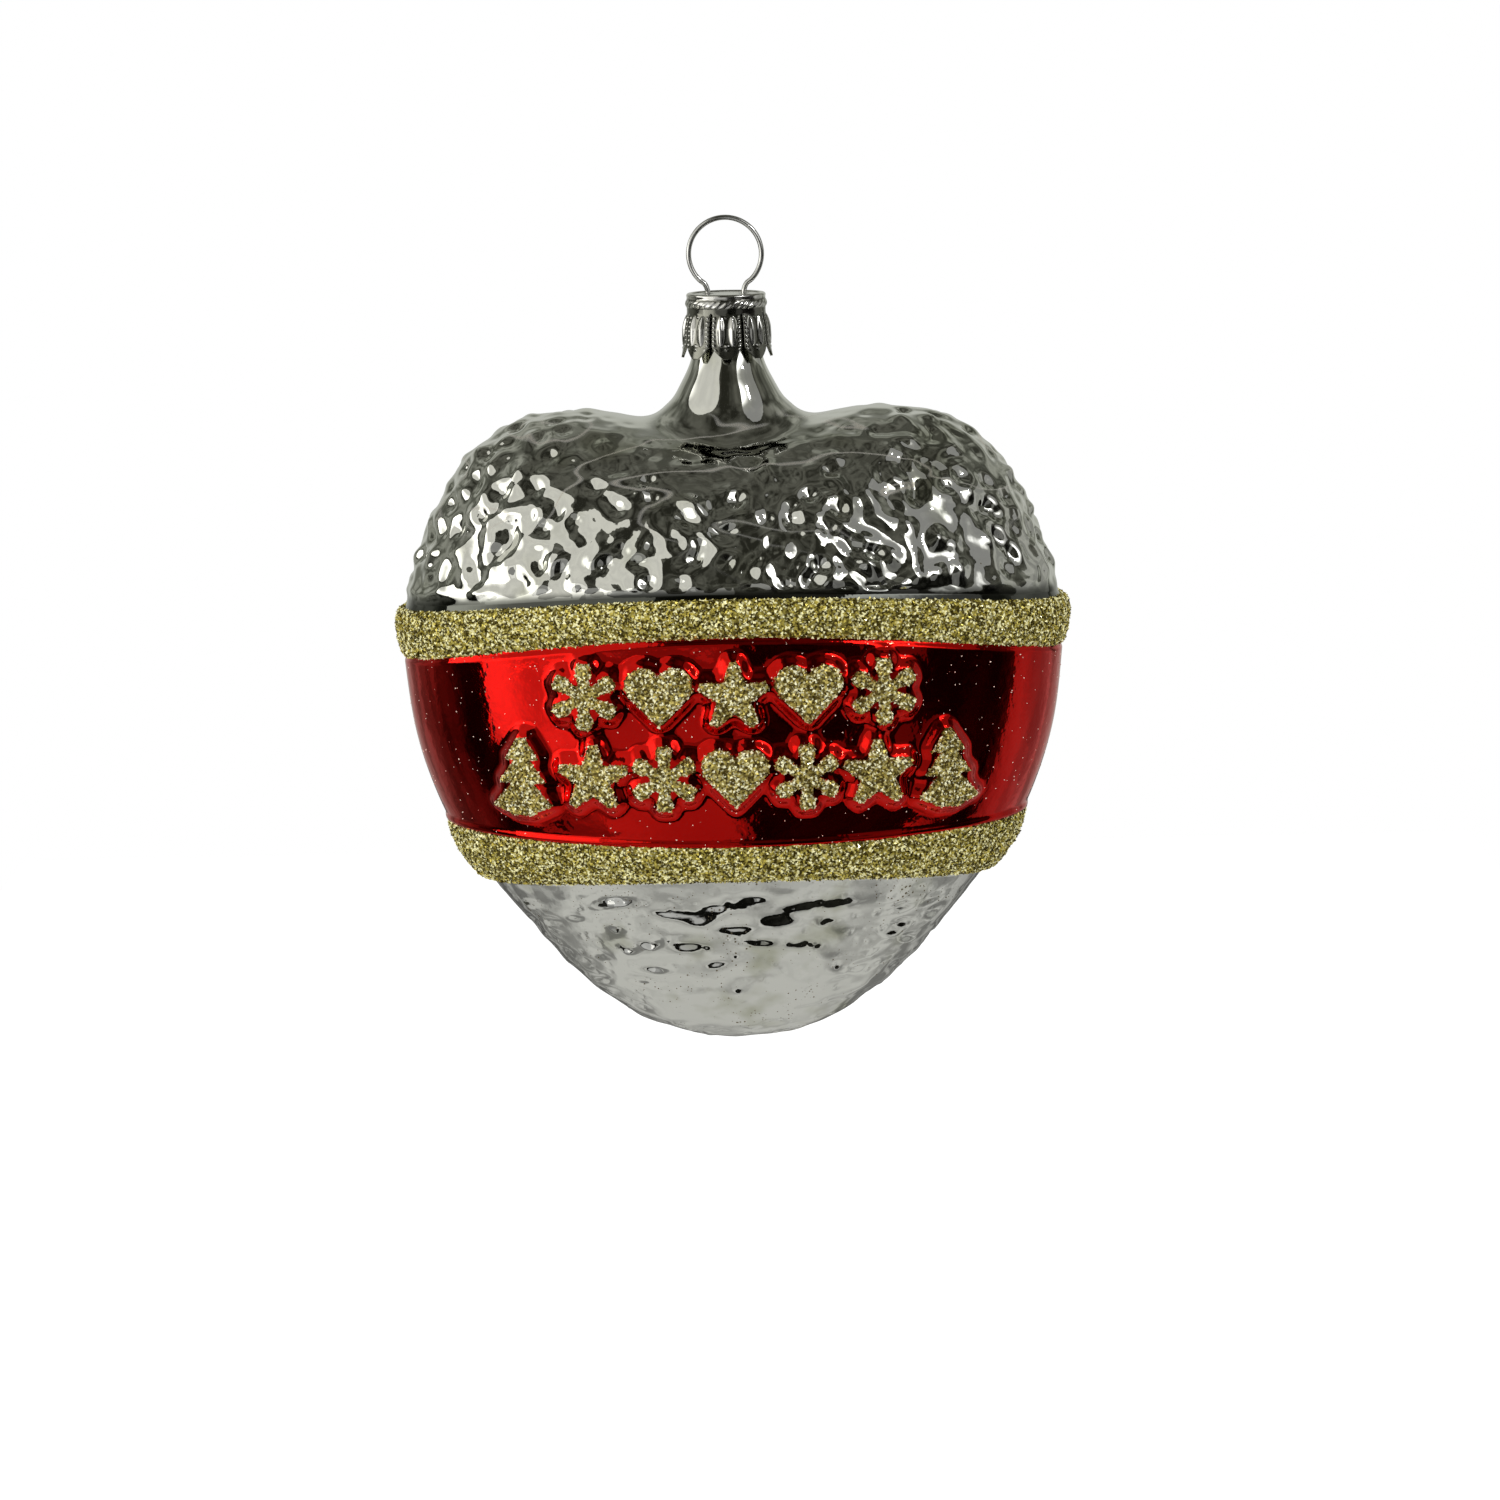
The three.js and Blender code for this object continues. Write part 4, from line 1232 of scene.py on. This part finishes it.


# Dark, middle and light; on the grains the light tone is a painted glint
bandGold = ((0.09, 0.066, 0.006), (0.78, 0.65, 0.13), (1.0, 0.96, 0.55))
figureGold = ((0.13, 0.09, 0.015), (0.82, 0.67, 0.18), (1.0, 0.97, 0.66))
strayGold = ((0.5, 0.2, 0.14), (0.8, 0.42, 0.32), (1.0, 0.78, 0.66))
hammeredSilver = {"speckAmount": 0.36, "lineStrength": 0.5, "dull": (0.78, 0.79, 0.69),
                  "bright": (0.94, 0.945, 0.89)}
speckledSilver = {"speckAmount": 0.62, "lineStrength": 0.0, "dull": (0.66, 0.67, 0.56),
                  "bright": (0.97, 0.975, 0.94)}
finishes = [
    (silverMaterial("hammered silvering", **hammeredSilver), [upperGlass]),
    (silverMaterial("speckled silvering", **speckledSilver), [lowerGlass]),
    (redMaterial(), [redBand]),
    (glitterMaterial("band glitter", *bandGold), [upperGlitter, lowerGlitter]),
    (glitterMaterial("figure glitter", *figureGold), figurePieces),
    (grainMaterial("band grains", *bandGold), [upperGrains, lowerGrains]),
    (grainMaterial("stray grains", *strayGold), [strayGrains]),
    (grainMaterial("figure grains", *figureGold), [figureGrains]),
    (capMaterial(), [pressedCap]),
    (wireMaterial(), [hanger]),
]
for material, carriers in finishes:
    for carrier in carriers:
        carrier.data.materials.append(material)
print("Materials made")

# Studio: a pale floor, a white surround, and two large soft lamps with the dark room between them. Ranges are
# from, to, and the value at each.
studio = {
    "floorDrop": 120 * mm,  # floor below the tip
    "floorSides": 0.2,
    "floorFront": 0.13,
    "floorBack": 0.8,
    "floorGlow": (0.05, 0.2, 0.56, 1.0),  # its own white to the camera, by distance from under the ornament
    "floorPaleness": (0.05, 0.3, 0.45, 0.18),  # and how pale it is to lamps and mirrors: a painted pool of light, palest under the ornament
    "floorTint": (1.0, 1.0, 0.95),
    "patchScale": 17.0,  # lighter and darker things on the table, in reflections only
    "patchTones": (0.4, 0.6, 0.5, 1.3),
    "patchStart": (0.05, 0.15),  # they grow between these distances
    "lampDistance": 0.75,
    "lampCore": 0.12,  # radius of a lamp's even middle, where its rim is at 0.5
    "bulbDistance": 0.8,
}
aim = Vector((0, 0, tipZ + middleHeight))


def makeFloor():
    # White to the camera, with the ornament's shadow; to mirrors it is a table that darkens outwards, a
    # painted pool of light
    z = tipZ - studio["floorDrop"]
    side, near, far = studio["floorSides"], -studio["floorFront"], studio["floorBack"]
    mesh = bpy.data.meshes.new("floor")
    corners = [(-side, near, z), (side, near, z), (side, far, z), (-side, far, z)]
    mesh.from_pydata(corners, [], [(0, 1, 2, 3)])
    floor = addObject("floor", mesh)
    material = bpy.data.materials.new("pale floor")
    material.use_nodes = True
    mesh.materials.append(material)
    tree = material.node_tree
    tree.nodes.clear()
    rays = addNode(tree, "LightPath").outputs
    place = objectPlace(tree)
    away = computeVector(tree, "DISTANCE", place, (0, 0, z))
    patches = between(tree, noise(tree, place, studio["patchScale"], detail=2.0), *studio["patchTones"])
    outer = between(tree, away, *studio["patchStart"], 1.0, patches)
    mirrored = between(tree, rays["Is Glossy Ray"], 0.0, 1.0, 1.0, outer)
    # A painted pool of light: the floor is paler near the ornament
    paleness = compute(tree, "MULTIPLY", between(tree, away, *studio["floorPaleness"]), mirrored)
    tinted = computeVector(tree, "SCALE", studio["floorTint"], paleness)
    pale = addNode(tree, "BsdfDiffuse", {"Color": tinted})
    seen = compute(tree, "MULTIPLY", rays["Is Camera Ray"], between(tree, away, *studio["floorGlow"]))
    fill = addNode(tree, "Emission", {"Color": (1, 1, 1, 1), "Strength": seen})
    both = addNode(tree, "AddShader", {0: pale.outputs[0], 1: fill.outputs[0]})
    addNode(tree, "OutputMaterial", {"Surface": both.outputs[0]})


def direction(azimuth, elevation):
    # Azimuth 0 is towards the camera and grows to the right, elevation is above the level
    a, e = math.radians(azimuth), math.radians(elevation)
    return Vector((math.sin(a) * math.cos(e), -math.cos(a) * math.cos(e), math.sin(e)))


def dimEdges(data, edge):
    # The lamp's strength falls smoothly from its middle to the given share at its rim
    data.use_nodes = True
    tree = data.node_tree
    tree.nodes.clear()
    place = addNode(tree, "SeparateXYZ", {0: addNode(tree, "NewGeometry").outputs["Parametric"]}).outputs
    other = compute(tree, "SUBTRACT", 1.0, compute(tree, "ADD", place["X"], place["Y"]))
    across = addNode(tree, "CombineXYZ", {"X": place["Y"], "Y": other}).outputs[0]
    away = computeVector(tree, "DISTANCE", across, (0.5, 0.5, 0))
    strength = between(tree, away, studio["lampCore"], 0.5, 1.0, edge, easing="SMOOTHSTEP")
    light = addNode(tree, "Emission", {"Strength": strength})
    addNode(tree, "OutputLight", {"Surface": light.outputs[0]})


def softLamp(name, azimuth, elevation, width, height, radiance, colour, edge, shape):
    # A flat lamp that fills the given angles, as seen from the ornament
    data = bpy.data.lights.new(name, "AREA")
    data.shape = shape
    data.size = 2 * studio["lampDistance"] * math.tan(math.radians(width / 2))
    data.size_y = 2 * studio["lampDistance"] * math.tan(math.radians(height / 2))
    area = data.size * data.size_y * (math.pi / 4 if shape == "ELLIPSE" else 1)
    data.energy = radiance * math.pi * area
    data.color = colour
    dimEdges(data, edge)
    lamp = addObject(name, data)
    towards = direction(azimuth, elevation)
    lamp.location = aim + towards * studio["lampDistance"]
    lamp.rotation_euler = towards.to_track_quat("Z", "Y").to_euler()
    lamp.visible_camera = False


def bulb(name, azimuth, elevation, radius, energy):
    data = bpy.data.lights.new(name, "POINT")
    data.shadow_soft_size = radius
    data.energy = energy
    lamp = addObject(name, data)
    lamp.location = aim + direction(azimuth, elevation) * studio["bulbDistance"]
    lamp.visible_camera = False


# What mirrors see around the ornament, by direction: the first two of each range are along Y or Z
room = {
    "behind": (-0.1, 0.55, 0.0, 1.0),
    "farBehind": (0.72, 0.95, 0.0, 1.0),
    "underTop": (0.97, 0.75, 0.0, 1.0),
    "frontByHeight": (-0.1, 0.3, 0.25, 1.5),
    "patchScale": 3.4,
    "behindTones": ((0.36, (0.06, 0.062, 0.05)), (0.5, (0.15, 0.155, 0.13)), (0.62, (0.28, 0.285, 0.25))),
    "frontTones": ((0.4, (0.012, 0.012, 0.009)), (0.65, (0.06, 0.06, 0.05))),
    "farTone": (0.46, 0.47, 0.43),
    "daylight": (0.8, 0.8, 0.8),  # on rough surfaces
}


def makeWorld():
    # White where it is seen directly. In reflections it is a dim room: darkest in front and overhead, grey
    # behind.
    world = bpy.data.worlds.new("studio")
    bpy.context.scene.world = world
    world.use_nodes = True
    tree = world.node_tree
    tree.nodes.clear()
    rays = addNode(tree, "LightPath").outputs
    around = addNode(tree, "TexCoord").outputs["Generated"]
    towards = addNode(tree, "SeparateXYZ", {0: around}).outputs
    behind = between(tree, towards["Y"], *room["behind"])
    share = compute(tree, "MULTIPLY", behind, between(tree, towards["Z"], *room["underTop"]))
    patchy = noise(tree, around, room["patchScale"], detail=2.0)
    dimmed = computeVector(tree, "SCALE", ramp(tree, patchy, *room["frontTones"]),
                           between(tree, towards["Z"], *room["frontByHeight"]))
    near = mixColours(tree, share, dimmed, ramp(tree, patchy, *room["behindTones"]))
    whole = mixColours(tree, between(tree, towards["Y"], *room["farBehind"]), near, room["farTone"])
    lit = mixColours(tree, rays["Is Glossy Ray"], room["daylight"], whole)
    seen = mixColours(tree, rays["Is Camera Ray"], lit, (1, 1, 1))
    background = addNode(tree, "Background", {"Color": seen, "Strength": 1.0})
    addNode(tree, "OutputWorld", {"Surface": background.outputs[0]})


# Name, azimuth, elevation, width and height in degrees, radiance, colour, strength at the rim and shape
softLamps = [
    ("left softbox", -60, 23, 74, 68, 1.7, (1.0, 0.99, 0.93), 0.3, "ELLIPSE"),
    ("left panel", -54, -8, 34, 40, 1.3, (1.0, 0.99, 0.95), 0.5, "RECTANGLE"),
    ("right softbox", 57, 34, 40, 60, 2.1, (1.0, 1.0, 1.0), 0.1, "ELLIPSE"),
    ("right reflector", 112, -10, 40, 60, 0.27, (1.0, 1.0, 0.98), 0.6, "RECTANGLE"),
    ("left table", -26, -26, 44, 32, 0.3, (1.0, 1.0, 0.98), 0.5, "RECTANGLE"),
    ("left glow", -17, -14, 37, 52, 0.25, (1.0, 1.0, 0.98), 0.8, "RECTANGLE"),
    ("right glow", 38, -8, 18, 36, 0.14, (1.0, 1.0, 0.98), 0.7, "RECTANGLE"),
]
makeFloor()
for lamp in softLamps:
    softLamp(*lamp)
bulb("right bulb", azimuth=52, elevation=38, radius=16 * mm, energy=2.2)
makeWorld()
print("Studio made")

# Camera at the photograph's place: heights above the tip
view = {
    "from": Vector((1.7, -600, 130)) * mm,
    "to": Vector((1.7, 0, 34.5)) * mm,
    "roll": math.radians(1.2),
    "pixelsAcross": 1500,
    "pixelsPerMm": 8.45,  # at the ornament's middle plane
    "sensorWidth": 36.0,
}


def makeCamera():
    data = bpy.data.cameras.new("camera")
    camera = addObject("camera", data)
    ahead = view["to"] - view["from"]
    data.sensor_width = view["sensorWidth"]
    data.lens = view["pixelsPerMm"] / mm * ahead.length / view["pixelsAcross"] * data.sensor_width
    data.clip_start = 0.01
    ahead.normalize()
    right = ahead.cross(Vector((0, 0, 1))).normalized()
    up = right.cross(ahead)
    c, s = math.cos(view["roll"]), math.sin(view["roll"])
    right, up = c * right - s * up, s * right + c * up
    turned = Matrix((right, up, -ahead)).transposed().to_4x4()
    camera.matrix_world = Matrix.Translation(view["from"] + Vector((0, 0, tipZ))) @ turned
    bpy.context.scene.camera = camera


makeCamera()
bpy.context.scene.view_settings.view_transform = "Standard"
